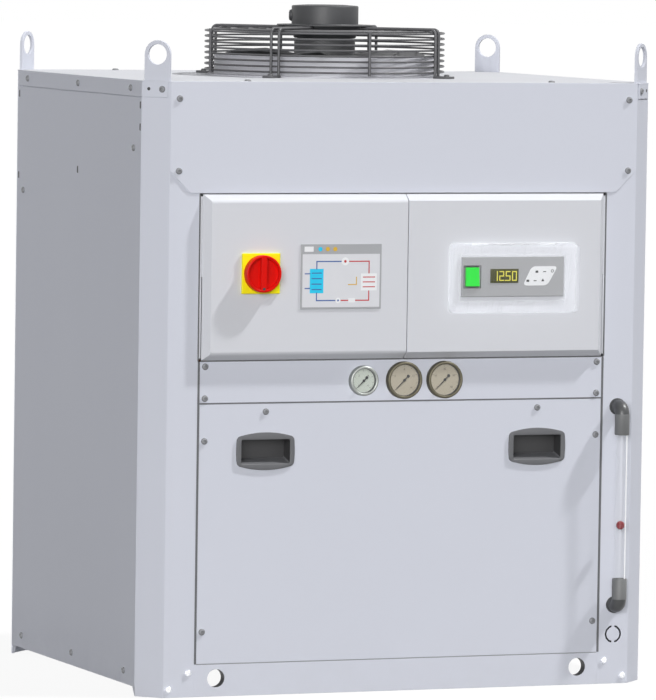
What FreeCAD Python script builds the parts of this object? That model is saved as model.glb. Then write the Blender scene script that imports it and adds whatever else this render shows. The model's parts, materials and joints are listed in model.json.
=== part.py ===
import FreeCAD, Part
import math
import os
import Sketcher
from FreeCAD import Placement, Rotation, Vector
from types import SimpleNamespace

# Industrial water chiller: sheet steel cabinet, roof fan, front doors and level gauge.
# Frame: origin at the centre of the footprint on the floor, front towards -Y, +Z up, millimetres.

SIZES = {
    # Cabinet shell
    "case_width": 900,
    "case_depth": 700,
    "case_height": 1005,
    "corner_cut": 36,
    "sheet": 1.5,
    "post_sheet": 2,
    "post_face": 54,
    "landing": 26,
    "seam": 1.5,
    "edge_gap": 0.5,
    "moving_gap": 0.3,
    "running_gap": 0.05,
    # Base
    "rail_height": 52.5,
    "rail_lip": 40,
    "bar_hole_radius": 15,
    "bar_hole_inset": 128,
    "bar_hole_height": 29.7,
    "skirt_height": 36,
    # Front and rear panel rows
    "strip_height": 68.5,
    "door_height": 271.5,
    "fascia_height": 181.5,
    "fascia_cut": 36,
    "panel_lip": 28,
    "rear_panel_height": 346.5,
    "stiffener_depth": 15,
    # Side panels
    "side_low": 15,
    "slot_width": 7,
    "slot_height": 12,
    "slot_inset": 45,
    "foot_taper": 22,
    "foot_taper_rise": 29,
    # Roof and lifting lugs
    "roof_flange": 26.5,
    "tab_margin": 2,
    "lug_width": 46,
    "lug_sheet": 5,
    "lug_hole_radius": 16.5,
    "lug_hole_rise": 43,
    "lug_root": 75,
    "tab_screw": 11,
    "roof_screw_x": 270,
    "roof_screw_inset": 28,
    # Doors and their hinges
    "door_stand": 14,
    "door_bevel": 11,
    "door_lip": 14,
    "hinge_gap": 4.2,
    "hinge_radius": 1.5,
    "hinge_pin_radius": 0.8,
    "hinge_length": 264,
    "hinge_leaf": 22,
    "hinge_sheet": 1.2,
    # Control box and its gear
    "box_side_gap": 20,
    "box_depth": 176,
    "gear_plate_width": 580,
    "gear_plate_height": 210,
    "contactor_width": 45,
    "contactor_height": 82,
    "contactor_depth": 86,
    "gear_pitch": 62,
    "terminal_height": 40,
    "terminal_depth": 44,
    # Main switch
    "switch_x": 259.7,
    "switch_up": 6.8,
    "switch_plate_width": 66,
    "switch_plate_depth": 5,
    "switch_body_width": 58,
    "switch_body_depth": 50,
    "knob_radius": 30.5,
    "knob_disc": 14,
    "knob_hollow": 9,
    "knob_rim": 4,
    "knob_grip_width": 10,
    "shaft_radius": 5,
    "shaft_reach": 34,
    "shaft_hole_radius": 11,
    # Diagram plate
    "mimic_x": 118.5,
    "mimic_up": 1,
    "mimic_width": 142,
    "mimic_height": 106.5,
    # Controller, rocker and clear cover
    "controller_x": 186.5,
    "controller_up": -1.2,
    "controller_width": 183,
    "controller_height": 66,
    "controller_face": 4,
    "controller_body_depth": 60,
    "controller_border": 5,
    "rocker_x": 113.4,
    "rocker_width": 24,
    "rocker_height": 31,
    "rocker_well": 35,
    "rocker_well_depth": 16,
    "rocker_crown": 6,
    "rocker_low_lift": 3,
    "rocker_pin": 0.8,
    "rocker_pin_reach": 1.5,
    "cover_x": 187,
    "cover_up": -3.2,
    "cover_width": 228,
    "cover_height": 116,
    "cover_depth": 18,
    "cover_wall": 2.5,
    "frame_sheet": 3,
    "frame_border": 20,
    "cover_knuckle": 2.2,
    "cover_pin": 1,
    "cover_knuckle_width": 90,
    "cover_tab_width": 24,
    "cover_tab_drop": 5,
    # Service panel handles
    "handle_x": 241.5,
    "handle_drop": 77.8,
    "handle_width": 102,
    "handle_height": 62,
    "handle_arch": 5,
    "handle_flange": 3,
    "recess_width": 85,
    "recess_height": 42,
    "recess_depth": 26,
    "recess_ramp": 8,
    "recess_hood": 2,
    "handle_wall": 2,
    # Pressure gauges
    "gauge_pitch": 72,
    "gauge_radius": 31,
    "small_gauge_radius": 25,
    "gauge_stand": 12,
    "gauge_depth": 28,
    "gauge_rim": 5,
    "dial_depth": 7,
    "lens_sheet": 2,
    "pointer_width": 2,
    "pointer_sheet": 0.8,
    "pointer_hub": 3,
    "pointer_float": 1.5,
    "spindle_radius": 0.8,
    "spindle_depth": 5,
    # Level gauge
    "level_inset": 27,
    "level_low": 132.8,
    "level_top_drop": 34.1,
    "level_stand": 22,
    "elbow_radius": 12,
    "elbow_socket": 46,
    "rosette_radius": 14,
    "rosette_sheet": 4,
    "stub_radius": 9,
    "tube_radius": 10,
    "tube_wall": 2,
    "tube_grip": 20,
    "float_radius": 7.2,
    "float_level": 268,
    "knockout_height": 83.1,
    "knockout_radius": 15,
    "knockout_slot": 3,
    "knockout_bridge": 5,
    # Fan
    "fan_y": 25,
    "throat_radius": 184.5,
    "shroud_wall": 2.5,
    "shroud_height": 35,
    "shroud_flange": 12,
    "shroud_flange_sheet": 2,
    "tip_gap": 5,
    "blade_chord": 170,
    "blade_root_chord": 62,
    "blade_tip_chord": 118,
    "blade_pitch": 27,
    "blade_camber": 9,
    "blade_sheet": 3,
    "blade_sweep": 22,
    "blade_rise": 14,
    "hub_radius": 52,
    "hub_height": 61,
    "hub_rise": 2,
    "motor_shaft_radius": 8,
    "motor_shaft_length": 30,
    "motor_gap": 1,
    "motor_neck_radius": 66.5,
    "motor_plate_radius": 81.5,
    "motor_plate_sheet": 2.5,
    "motor_can_radius": 56.7,
    "motor_can_height": 34,
    "motor_can_edge": 3,
    # Fan guard
    "guard_gap": 5,
    "guard_wire": 3.4,
    "guard_first_ring": 9.6,
    "guard_ring_pitch": 9.3,
    "guard_rod": 5,
    "guard_rod_gap": 14,
    "guard_height": 84.5,
    "guard_bend": 5,
    "guard_top_edge": 14,
    "guard_top_pitch": 30,
    "guard_foot_length": 31,
    "guard_foot_width": 20,
    "guard_foot_sheet": 4,
    # Screws
    "screw_radius": 5.5,
    "screw_head": 3,
    # Condenser coil
    "coil_thickness": 60,
    "coil_tilt": 9.6,
    "coil_rise": 24,
    "coil_side_gap": 38,
    "coil_plate": 4,
    "coil_plate_rise": 8,
    "coil_stub_drop": 48,
    # Refrigerant side
    "compressor_x": -280,
    "discharge_gap": 24,
    "compressor_radius": 95,
    "compressor_height": 360,
    "compressor_dome": 45,
    "compressor_foot": 110,
    "compressor_foot_sheet": 14,
    "pipe_radius": 9,
    "pipe_bend": 32,
    "suction_height": 250,
    "suction_reach": 25,
    "suction_x": -105,
    "liquid_x": -200,
    "liquid_height": 150,
    "drier_radius": 26,
    "drier_length": 130,
    "drier_height": 430,
    # Water side
    "tank_x": 105,
    "tank_side_gap": 23.5,
    "tank_front_gap": 56,
    "tank_depth": 354,
    "tank_top_gap": 49.5,
    "tank_corner": 18,
    "evaporator_x": 30,
    "evaporator_y": 190,
    "evaporator_width": 110,
    "evaporator_depth": 80,
    "evaporator_height": 350,
    "evaporator_stub": 20,
    "pump_y": -180,
    "pump_height": 150,
    "pump_end_x": 0,
    "pump_end_radius": 80,
    "pump_end_length": 60,
    "pump_motor_radius": 62,
    "pump_motor_length": 170,
    "pump_foot_width": 110,
    "water_pipe_radius": 16.6,
    "water_pipe_bend": 45,
    "outlet_height": 340,
    "inlet_inset": 32.5,
    "inlet_height": 330,
    "port_stand": 44,
    "port_nut_radius": 26,
    "port_nut": 14,
    # Cable gland
    "gland_x": -260,
    "gland_height": 330,
    "gland_radius": 14,
    "gland_length": 24,
    "gland_nut_radius": 18,
    "gland_nut": 7,
}


class Size:
    # A length with its number and the spreadsheet formula that it comes from
    def __init__(self, text, value):
        self.text = text
        self.value = value

    def __add__(self, other):
        other = as_size(other)
        return Size(f"({self.text} + {other.text})", self.value + other.value)

    def __sub__(self, other):
        other = as_size(other)
        return Size(f"({self.text} - {other.text})", self.value - other.value)

    def __mul__(self, other):
        other = as_size(other)
        return Size(f"({self.text} * {other.text})", self.value * other.value)

    def __truediv__(self, other):
        other = as_size(other)
        return Size(f"({self.text} / {other.text})", self.value / other.value)

    def __neg__(self):
        return self * -1

    def __radd__(self, other):
        return as_size(other) + self

    def __rsub__(self, other):
        return as_size(other) - self

    def __rmul__(self, other):
        return as_size(other) * self


def as_size(number):
    if isinstance(number, Size):
        return number
    return Size(f"({number})", number)


doc = FreeCAD.newDocument("chiller")
dims = doc.addObject("Spreadsheet::Sheet", "dims")
for row, (alias, number) in enumerate(SIZES.items(), start=1):
    dims.set(f"A{row}", alias)
    dims.set(f"B{row}", str(number))
    dims.setAlias(f"B{row}", alias)
doc.recompute()
d = SimpleNamespace(**{alias: Size(f"dims.{alias}", float(number)) for alias, number in SIZES.items()})

ROOT_TWO = Size("sqrt(2)", math.sqrt(2))
BEND_TRIM = Size("tan(22.5 deg)", math.tan(math.radians(22.5)))

# Turns that point a shape's own Z axis along a frame axis
ALONG_X = Rotation(Vector(0, 1, 0), 90)
ALONG_Y = Rotation(Vector(1, 0, 0), -90)
ALONG_Z = Rotation()
TO_FRONT = Rotation(Vector(1, 0, 0), 90)

# Levels and planes that several pieces share
half_width = d.case_width / 2
half_depth = d.case_depth / 2
front = -half_depth
back = half_depth
post_edge = half_width - d.corner_cut - d.post_face
panel_edge = post_edge - d.sheet
landing_edge = panel_edge - d.landing
inner_edge = landing_edge - d.edge_gap
side_edge = half_depth - d.corner_cut - d.sheet - d.edge_gap
pan_top = d.rail_height + d.post_sheet
fascia_low = d.case_height - d.fascia_height
door_high = fascia_low - d.seam
door_low = door_high - d.door_height
door_middle = (door_low + door_high) / 2
strip_high = door_low - d.seam
strip_low = strip_high - d.strip_height
service_high = strip_low - d.seam
service_low = d.rail_height + d.seam
roof_low = d.case_height - d.sheet
flange_low = d.case_height - d.roof_flange
face_y = front - d.door_stand
level_x = half_width - d.corner_cut - d.level_inset
tank_top = strip_high - d.tank_top_gap
level_high = tank_top - d.level_top_drop
coil_middle = fascia_low + d.coil_rise
compressor_y = front + d.box_depth + d.discharge_gap
inlet_x = landing_edge - d.inlet_inset
guard_radius = d.throat_radius + d.shroud_wall + d.shroud_flange + d.guard_gap

NODES = []


def bind(thing, **sizes):
    for name, size in sizes.items():
        thing.setExpression(name, as_size(size).text)
    return thing


def place(thing, x=0, y=0, z=0, turn=ALONG_Z):
    thing.Placement = Placement(Vector(), turn)
    for axis, size in zip("xyz", (x, y, z)):
        thing.setExpression(f"Placement.Base.{axis}", as_size(size).text)
    return thing


def node(thing, label):
    thing.Label = label
    NODES.append(thing)
    return thing


def span(side, inner, outer):
    # A stretch measured outwards from the middle plane, on the side given by its sign
    if side > 0:
        return inner, outer
    return -outer, -inner


def around(middle, length):
    return middle - length / 2, middle + length / 2


def block(name, x, y, z):
    part = doc.addObject("Part::Box", name)
    bind(part, Length=x[1] - x[0], Width=y[1] - y[0], Height=z[1] - z[0])
    return place(part, x[0], y[0], z[0])


def rod(name, radius, length, x, y, z, turn=ALONG_Z):
    part = doc.addObject("Part::Cylinder", name)
    bind(part, Radius=radius, Height=length)
    return place(part, x, y, z, turn)


def prism(name, sides, radius, length, x, y, z, turn=ALONG_Z):
    part = doc.addObject("Part::Prism", name)
    part.Polygon = sides
    bind(part, Circumradius=radius, Height=length)
    return place(part, x, y, z, turn)


def direction(angle):
    # The cosine and sine of an angle in degrees
    turn = math.radians(angle)
    return Size(f"cos({angle} deg)", math.cos(turn)), Size(f"sin({angle} deg)", math.sin(turn))


CONTACTORS = 7
GRILLE_ROWS = 9
BLADES = 6
BLADE_START = -21
SIDE_RINGS = 8
TOP_RINGS = 4

# Facets round each kind of turned piece
SCREW_SIDES = 6
NUT_SIDES = 6
KNUCKLE_SIDES = 8
PIPE_SIDES = 8
ELBOW_SIDES = 12
GUARD_SIDES = 16
RING_SIDES = 24
ROUND_SIDES = 24
SHROUD_SIDES = 32
GUARD_FLAT = direction(180 / GUARD_SIDES)[0]
RING_FLAT = direction(180 / RING_SIDES)[0]
SHROUD_FLAT = direction(180 / SHROUD_SIDES)[0]


def group(name, parts):
    whole = doc.addObject("Part::Compound", name)
    whole.Links = parts
    return whole


def fuse(name, parts):
    whole = doc.addObject("Part::MultiFuse", name)
    whole.Shapes = parts
    return whole


def cut(name, base, tools):
    whole = doc.addObject("Part::Cut", name)
    whole.Base = base
    whole.Tool = tools[0] if len(tools) == 1 else group(name + "_tools", tools)
    return whole


def common(name, base, tool):
    whole = doc.addObject("Part::Common", name)
    whole.Base = base
    whole.Tool = tool
    return whole


def new_body(name):
    return doc.addObject("PartDesign::Body", name)


def sketch(body, plane, lift=0):
    drawing = body.newObject("Sketcher::SketchObject", body.Name + "_sketch")
    support = [feature for feature in body.Origin.OriginFeatures if feature.Role == plane]
    drawing.AttachmentSupport = [(support[0], "")]
    drawing.MapMode = "FlatFace"
    drawing.setExpression("AttachmentOffset.Base.z", as_size(lift).text)
    return drawing


def fix_point(drawing, geometry, corner, x, y):
    for kind, size in (("DistanceX", as_size(x)), ("DistanceY", as_size(y))):
        index = drawing.addConstraint(Sketcher.Constraint(kind, -1, 1, geometry, corner, size.value))
        drawing.setExpression(f"Constraints[{index}]", size.text)


def polygon(drawing, points):
    points = [(as_size(x), as_size(y)) for x, y in points]
    first = drawing.GeometryCount
    corners = [Vector(x.value, y.value, 0) for x, y in points]
    for start, end in zip(corners, corners[1:] + corners[:1]):
        drawing.addGeometry(Part.LineSegment(start, end), False)
    for index, (x, y) in enumerate(points):
        following = first + (index + 1) % len(points)
        drawing.addConstraint(Sketcher.Constraint("Coincident", first + index, 2, following, 1))
        fix_point(drawing, first + index, 1, x, y)


def pad(body, drawing, length, reverse=False):
    feature = body.newObject("PartDesign::Pad", body.Name + "_pad")
    feature.Profile = drawing
    feature.Reversed = reverse
    return bind(feature, Length=length)


def ring_points(sides, radius, x=0, y=0):
    # The corners of a regular polygon
    points = []
    for index in range(sides):
        cosine, sine = direction(360 * index / sides)
        points.append((x + radius * cosine, y + radius * sine))
    return points


def faceted(name, sides, radius, z, bevel, x, y, both_ends=False):
    # A turned piece as flat facets, with a bevel round its top or round both its ends
    body = new_body(name)
    drawing = sketch(body, "XY_Plane", z[0])
    polygon(drawing, ring_points(sides, radius))
    column = pad(body, drawing, z[1] - z[0])
    doc.recompute()
    ends = []
    for index, face in enumerate(column.Shape.Faces, start=1):
        upward = face.normalAt(0, 0).z
        if upward > 0.5 or (both_ends and upward < -0.5):
            ends.append(f"Face{index}")
    edge = body.newObject("PartDesign::Chamfer", name + "_bevel")
    edge.Base = (column, ends)
    bind(edge, Size=bevel)
    return place(body, x, y, 0)


def pipe(name, sides, radius, start, route):
    # A pipe of flat facets: start is the plane, level and centre of its end, route the plane, level and path
    body = new_body(name)
    end = sketch(body, start[0], start[1])
    polygon(end, ring_points(sides, radius, *start[2]))
    path = sketch(body, route[0], route[1])
    open_path(path, route[2])
    sweep = body.newObject("PartDesign::AdditivePipe", name + "_sweep")
    sweep.Profile = end
    sweep.Spine = (path, [f"Edge{index}" for index in range(1, len(route[2]))])
    sweep.Transition = "Right corner"
    return body


def open_path(drawing, points):
    points = [(as_size(x), as_size(y)) for x, y in points]
    corners = [Vector(x.value, y.value, 0) for x, y in points]
    for index, (first, second) in enumerate(zip(corners, corners[1:])):
        drawing.addGeometry(Part.LineSegment(first, second), False)
        fix_point(drawing, index, 1, *points[index])
        if index:
            drawing.addConstraint(Sketcher.Constraint("Coincident", index - 1, 2, index, 1))
    fix_point(drawing, len(points) - 2, 2, *points[-1])


def plate(name, outline, low, thickness):
    # A flat plate with an outline of x and y
    body = new_body(name)
    drawing = sketch(body, "XY_Plane", low)
    polygon(drawing, outline)
    pad(body, drawing, thickness)
    return body


def side_plate(name, x, outline):
    # A flat plate across the width, with an outline of y and z
    body = new_body(name)
    drawing = sketch(body, "YZ_Plane", x[0])
    polygon(drawing, outline)
    pad(body, drawing, x[1] - x[0])
    return body


# Base: two channel rails with bar holes and a floor pan on top of them
def rail(label, side):
    web_y = span(side, half_depth - d.sheet, half_depth)
    lip_y = span(side, half_depth - d.rail_lip, half_depth - d.sheet)
    web = block(label + "_web", (-panel_edge, panel_edge), web_y, (0, d.rail_height))
    lips = []
    for low, high in ((as_size(0), d.sheet), (d.rail_height - d.sheet, d.rail_height)):
        lips.append(block(label + "_lip", (-inner_edge, inner_edge), lip_y, (low, high)))
    channel = fuse(label + "_channel", [web] + lips)
    holes = []
    for hole_side in (-1, 1):
        hole_x = hole_side * (half_width - d.bar_hole_inset)
        holes.append(rod(label + "_hole", d.bar_hole_radius, d.sheet, hole_x, web_y[0],
                         d.bar_hole_height, ALONG_Y))
    node(cut(label, channel, holes), label)


def octagon(across_x, across_y, corner):
    # A rectangle of two half sizes with its corners cut at 45 degrees
    return [
        (corner - across_x, -across_y), (across_x - corner, -across_y),
        (across_x, corner - across_y), (across_x, across_y - corner),
        (across_x - corner, across_y), (corner - across_x, across_y),
        (-across_x, across_y - corner), (-across_x, corner - across_y),
    ]


def base():
    rail("front_rail", -1)
    rail("rear_rail", 1)
    pan_inset = d.sheet + d.post_sheet
    pan_cut = d.corner_cut + d.post_sheet * ROOT_TWO - 2 * pan_inset
    floor = plate("pan_floor", octagon(half_width - pan_inset, half_depth - pan_inset, pan_cut),
                  d.rail_height, d.post_sheet)
    skirts = []
    for side in (-1, 1):
        skirt_x = span(side, half_width - pan_inset - d.post_sheet, half_width - pan_inset)
        skirt_y = (d.landing - side_edge, side_edge - d.landing)
        skirts.append(block("pan_skirt", skirt_x, skirt_y, (d.rail_height - d.skirt_height, d.rail_height)))
    node(fuse("base_pan_fuse", [floor] + skirts), "base_pan")


# Corner posts: folded sheet with a 45 degree face and stepped landings for the panels
def post_outline(side_x, side_y):
    s, t, c = d.sheet, d.post_sheet, d.corner_cut
    f = c + d.post_face
    trim = BEND_TRIM * t
    steps = [
        (s, c + s + d.landing), (s, c + s), (as_size(0), c), (c, as_size(0)), (f, as_size(0)),
        (f + s, s), (f + s + d.landing, s), (f + s + d.landing, s + t), (f + s - trim, s + t),
        (f - trim, t), (c + trim, t), (t * ROOT_TWO, c), (s + t, c + s - trim), (s + t, c + s + d.landing),
    ]
    return [(side_x * (half_width - u), side_y * (half_depth - v)) for u, v in steps]


def posts():
    for side_x, side_y, label in (
        (-1, -1, "post_front_left"), (1, -1, "post_front_right"),
        (-1, 1, "post_rear_left"), (1, 1, "post_rear_right"),
    ):
        post = plate(label + "_sheet", post_outline(side_x, side_y), 0, roof_low)
        tools = []
        if side_y < 0:
            notch_y = (front - d.sheet, front + d.rail_lip)
            notch_x = span(side_x, landing_edge - d.seam, post_edge + BEND_TRIM * d.post_sheet)
            tools.append(block(label + "_notch", notch_x, notch_y, (strip_high, fascia_low)))
        tools.append(prism(label + "_bar_hole", RING_SIDES, (d.bar_hole_radius + d.edge_gap) / RING_FLAT,
                           d.rail_lip, side_x * (half_width - d.bar_hole_inset),
                           front if side_y < 0 else back - d.rail_lip, d.bar_hole_height, ALONG_Y))
        tools.append(foot_taper(label, side_x, side_y))
        if label == "post_front_right":
            for height in (d.level_low, level_high):
                tools.append(prism("level_hole", ELBOW_SIDES, d.stub_radius + d.running_gap, d.post_sheet,
                                   level_x, front, height, ALONG_Y))
            tools.append(knockout())
        node(cut(label, post, tools), label)


def foot_taper(label, side_x, side_y):
    # The slanted end of the side landing, below the side panel
    inset = d.sheet + d.post_sheet
    landing_end = d.corner_cut + d.sheet + d.landing
    slant = [(landing_end - d.foot_taper, as_size(0)), (landing_end + d.seam, as_size(0)),
             (landing_end + d.seam, d.foot_taper_rise), (landing_end, d.foot_taper_rise)]
    outline = [(side_y * (half_depth - v), z) for v, z in slant]
    return side_plate(label + "_taper", span(side_x, half_width - inset, half_width - d.sheet), outline)


def knockout():
    # The ring of the knock-out: two arc slots with a bridge above and below
    outer = prism("knockout_outer", ELBOW_SIDES, d.knockout_radius, d.post_sheet, level_x, front,
                  d.knockout_height, ALONG_Y)
    inner = prism("knockout_inner", ELBOW_SIDES, d.knockout_radius - d.knockout_slot, d.post_sheet, level_x,
                  front, d.knockout_height, ALONG_Y)
    ring = cut("knockout_ring", outer, [inner])
    bridge = block("knockout_bridges", around(level_x, d.knockout_bridge), (front, front + d.post_sheet),
                   around(d.knockout_height, 2 * d.knockout_radius))
    return cut("knockout_slots", ring, [bridge])


# Roof: plate with side flanges, corner tabs, the fan opening and slots for the lugs
def corner_quad(side_x, side_y, near, far, margin):
    # A strip along the 45 degree corner, between two distances from the corner point
    ends = [(margin, near - margin), (near - margin, margin)]
    step = (far - near) / 2
    strip = ends + [(near - margin + step, margin + step), (margin + step, near - margin + step)]
    return [(side_x * (half_width - u), side_y * (half_depth - v)) for u, v in strip]


tab_near = d.corner_cut - d.sheet * ROOT_TWO
CORNERS = ((-1, -1, "front_left"), (1, -1, "front_right"), (-1, 1, "rear_left"), (1, 1, "rear_right"))


def roof():
    top = plate("roof_top", octagon(half_width, half_depth, tab_near), roof_low, d.sheet)
    pieces = [top]
    slots = [prism("fan_opening", SHROUD_SIDES, d.throat_radius / SHROUD_FLAT, d.sheet, 0, d.fan_y, roof_low)]
    for side in (-1, 1):
        pieces.append(block("roof_flange_side", span(side, half_width - d.sheet, half_width),
                            (-side_edge, side_edge), (flange_low, roof_low)))
    lug_near = d.corner_cut + d.post_sheet * ROOT_TWO
    lug_far = lug_near + d.lug_sheet * ROOT_TWO
    slot_margin = (lug_near - d.lug_width / ROOT_TWO) / 2
    slack = d.edge_gap
    for side_x, side_y, corner in CORNERS:
        tab = corner_quad(side_x, side_y, tab_near, d.corner_cut, d.tab_margin)
        pieces.append(plate("roof_tab_" + corner, tab, flange_low, roof_low - flange_low))
        slot = corner_quad(side_x, side_y, lug_near - slack, lug_far + slack, slot_margin - slack)
        slots.append(plate("lug_slot_" + corner, slot, roof_low, d.sheet))
    node(cut("roof_panel", fuse("roof_folded", pieces), slots), "roof_panel")


def corner_turn(side_x, side_y):
    # Turns a piece that faces the front to the 45 degree face of a corner
    return Rotation(Vector(0, 0, 1), math.degrees(math.atan2(side_x, -side_y)))


def lugs():
    # Each lug is a plate with a round top, bolted inside the 45 degree face of its post
    plates = []
    height = d.lug_root + d.lug_hole_rise
    offset = (d.corner_cut + d.post_sheet * ROOT_TWO) / 2
    for side_x, side_y, corner in CORNERS:
        stem = block("lug_stem_" + corner, around(as_size(0), d.lug_width), (0, d.lug_sheet), (0, height))
        head = prism("lug_head_" + corner, ROUND_SIDES, d.lug_width / 2, d.lug_sheet, 0, 0, height, ALONG_Y)
        eye = rod("lug_eye_" + corner, d.lug_hole_radius, d.lug_sheet, 0, 0, height, ALONG_Y)
        lug = cut("lug_" + corner, fuse("lug_blank_" + corner, [stem, head]), [eye])
        plates.append(place(lug, side_x * (half_width - offset), side_y * (half_depth - offset),
                            d.case_height - d.lug_root, corner_turn(side_x, side_y)))
    node(group("lifting_lugs_group", plates), "lifting_lugs")


def coil_drop(y):
    # How far the tilted coil's middle plane lies below its middle at a depth
    return y * Size("tan(dims.coil_tilt * 1 deg)", math.tan(math.radians(d.coil_tilt.value)))


# Fixed panels of the front, the back and the sides
def fascia(label, side):
    # The fascia lies on the posts, so it stands proud by its own sheet
    body = new_body(label + "_sheet")
    drawing = sketch(body, "XZ_Plane", half_depth if side < 0 else -half_depth)
    wide = half_width - d.corner_cut
    polygon(drawing, [
        (-wide, d.case_height), (wide, d.case_height),
        (wide, fascia_low + d.fascia_cut), (wide - d.fascia_cut, fascia_low),
        (d.fascia_cut - wide, fascia_low), (-wide, fascia_low + d.fascia_cut),
    ])
    pad(body, drawing, d.sheet, reverse=side > 0)
    lip = block(label + "_lip", (-inner_edge, inner_edge), span(side, half_depth - d.panel_lip, half_depth),
                (fascia_low, fascia_low + d.sheet))
    node(fuse(label, [body, lip]), label)


def side_panel(label, side):
    skin = block(label + "_skin", span(side, half_width - d.sheet, half_width), (-side_edge, side_edge),
                 (d.side_low, flange_low - d.seam))
    slot_y = half_depth - d.slot_inset
    top_slot = flange_low - d.seam - d.slot_height
    tools = []
    over_coil = coil_middle + d.coil_thickness / 2
    for y, z in ((-slot_y, top_slot), (slot_y, top_slot), (-slot_y, over_coil - coil_drop(-slot_y)),
                 (slot_y, over_coil - coil_drop(slot_y)), (as_size(0), coil_middle)):
        tools.append(block(label + "_slot", span(side, half_width - d.sheet, half_width),
                           around(y, d.slot_width), around(z, d.slot_height)))
    node(cut(label, skin, tools), label)


def gauge_places():
    middle = (strip_low + strip_high) / 2
    return [
        ("left", -d.gauge_pitch, middle, d.small_gauge_radius),
        ("middle", as_size(0), middle, d.gauge_radius),
        ("right", d.gauge_pitch, middle, d.gauge_radius),
    ]


def gauge_strip():
    skin = block("strip_skin", (-panel_edge, panel_edge), (front, front + d.sheet), (strip_low, strip_high))
    lip = block("strip_lip", (-inner_edge, inner_edge), (front + d.sheet, front + d.panel_lip),
                (strip_high - d.sheet, strip_high))
    holes = []
    for name, x, z, radius in gauge_places():
        holes.append(prism("gauge_hole_" + name, RING_SIDES, radius - d.gauge_rim + d.edge_gap / 2, d.sheet,
                           x, front, z, ALONG_Y))
    node(cut("gauge_strip", fuse("strip_folded", [skin, lip]), holes), "gauge_strip")


def rear_panels():
    rear_low = d.rail_height + d.seam
    rear_high = rear_low + d.rear_panel_height
    skin_y = (back - d.sheet, back)
    skin = block("rear_skin", (-panel_edge, panel_edge), skin_y, (rear_low, rear_high))
    holes = []
    for name, x, z in (("inlet", inlet_x, d.inlet_height), ("outlet", d.evaporator_x, d.outlet_height)):
        holes.append(prism("rear_hole_" + name, RING_SIDES, (d.water_pipe_radius + d.running_gap) / RING_FLAT,
                           d.sheet, x, skin_y[0], z, ALONG_Y))
    holes.append(prism("rear_hole_gland", PIPE_SIDES, d.gland_radius + d.running_gap, d.sheet, d.gland_x,
                       skin_y[0], d.gland_height, ALONG_Y))
    node(cut("rear_panel", skin, holes), "rear_panel")
    grille(rear_high + d.seam, fascia_low - d.seam)


def grille(low, high):
    # The air intake: two columns of slots
    margin = d.landing * 2
    skin = block("grille_skin", (-panel_edge, panel_edge), (back - d.sheet, back), (low, high))
    pitch = (high - low - margin) / GRILLE_ROWS
    tools = []
    for row in range(GRILLE_ROWS):
        slot_low = low + margin / 2 + pitch * row + pitch / 3
        for side in (-1, 1):
            tools.append(block("grille_slot", span(side, margin / 2, panel_edge - margin),
                               (back - d.sheet, back), (slot_low, slot_low + pitch / 3)))
    node(cut("rear_grille", skin, tools), "rear_grille")


def service_panel():
    skin_y = (front - d.moving_gap, front - d.moving_gap + d.sheet)
    skin = block("service_skin", (d.seam - panel_edge, panel_edge - d.seam), skin_y,
                 (service_low, service_high))
    ribs, windows = [], []
    for side in (-1, 1):
        ribs.append(block("service_rib", span(side, inner_edge - d.sheet, inner_edge),
                          (skin_y[1], skin_y[1] + d.stiffener_depth),
                          (service_low + d.landing, service_high - d.landing)))
        window_x = around(side * d.handle_x, d.recess_width + 2 * d.handle_wall)
        window_z = around(service_high - d.handle_drop, d.recess_height + 2 * d.handle_wall)
        windows.append(block("service_window", window_x, skin_y, window_z))
    node(cut("service_panel", fuse("service_folded", [skin] + ribs), windows), "service_panel")
    for side, label in ((-1, "handle_left"), (1, "handle_right")):
        handle(label, side * d.handle_x, service_high - d.handle_drop, skin_y[0])


def handle(label, x, z, face):
    # A flush pull: arched flange on the panel and a cup behind it whose floor rises to the back
    body = new_body(label + "_flange")
    drawing = sketch(body, "XZ_Plane", 0)
    half_w, half_h, arch = d.handle_width / 2, d.handle_height / 2, d.handle_arch
    low = half_h - arch
    shoulder = half_h - arch / 4
    polygon(drawing, [
        (-half_w, -low), (-half_w / 2, -shoulder), (as_size(0), -half_h),
        (half_w / 2, -shoulder), (half_w, -low), (half_w, low),
        (half_w / 2, shoulder), (as_size(0), half_h), (-half_w / 2, shoulder), (-half_w, low),
    ])
    pad(body, drawing, d.handle_flange)
    place(body, x, face, z)
    cup = block(label + "_cup", around(x, d.recess_width + 2 * d.handle_wall),
                (face, face + d.recess_depth + d.handle_wall), around(z, d.recess_height + 2 * d.handle_wall))
    floor, roof_z = around(z, d.recess_height)
    deep = face + d.recess_depth
    cavity = side_plate(label + "_cavity", around(x, d.recess_width),
                        [(face, floor), (deep, floor + d.recess_ramp), (deep, roof_z), (face, roof_z)])
    mouth_z = (floor, roof_z - d.recess_hood)
    mouth = block(label + "_mouth", around(x, d.recess_width), (face - d.handle_flange, face), mouth_z)
    hollow = fuse(label + "_hollow", [cavity, mouth])
    node(cut(label, fuse(label + "_solid", [body, cup]), [hollow]), label)


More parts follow.
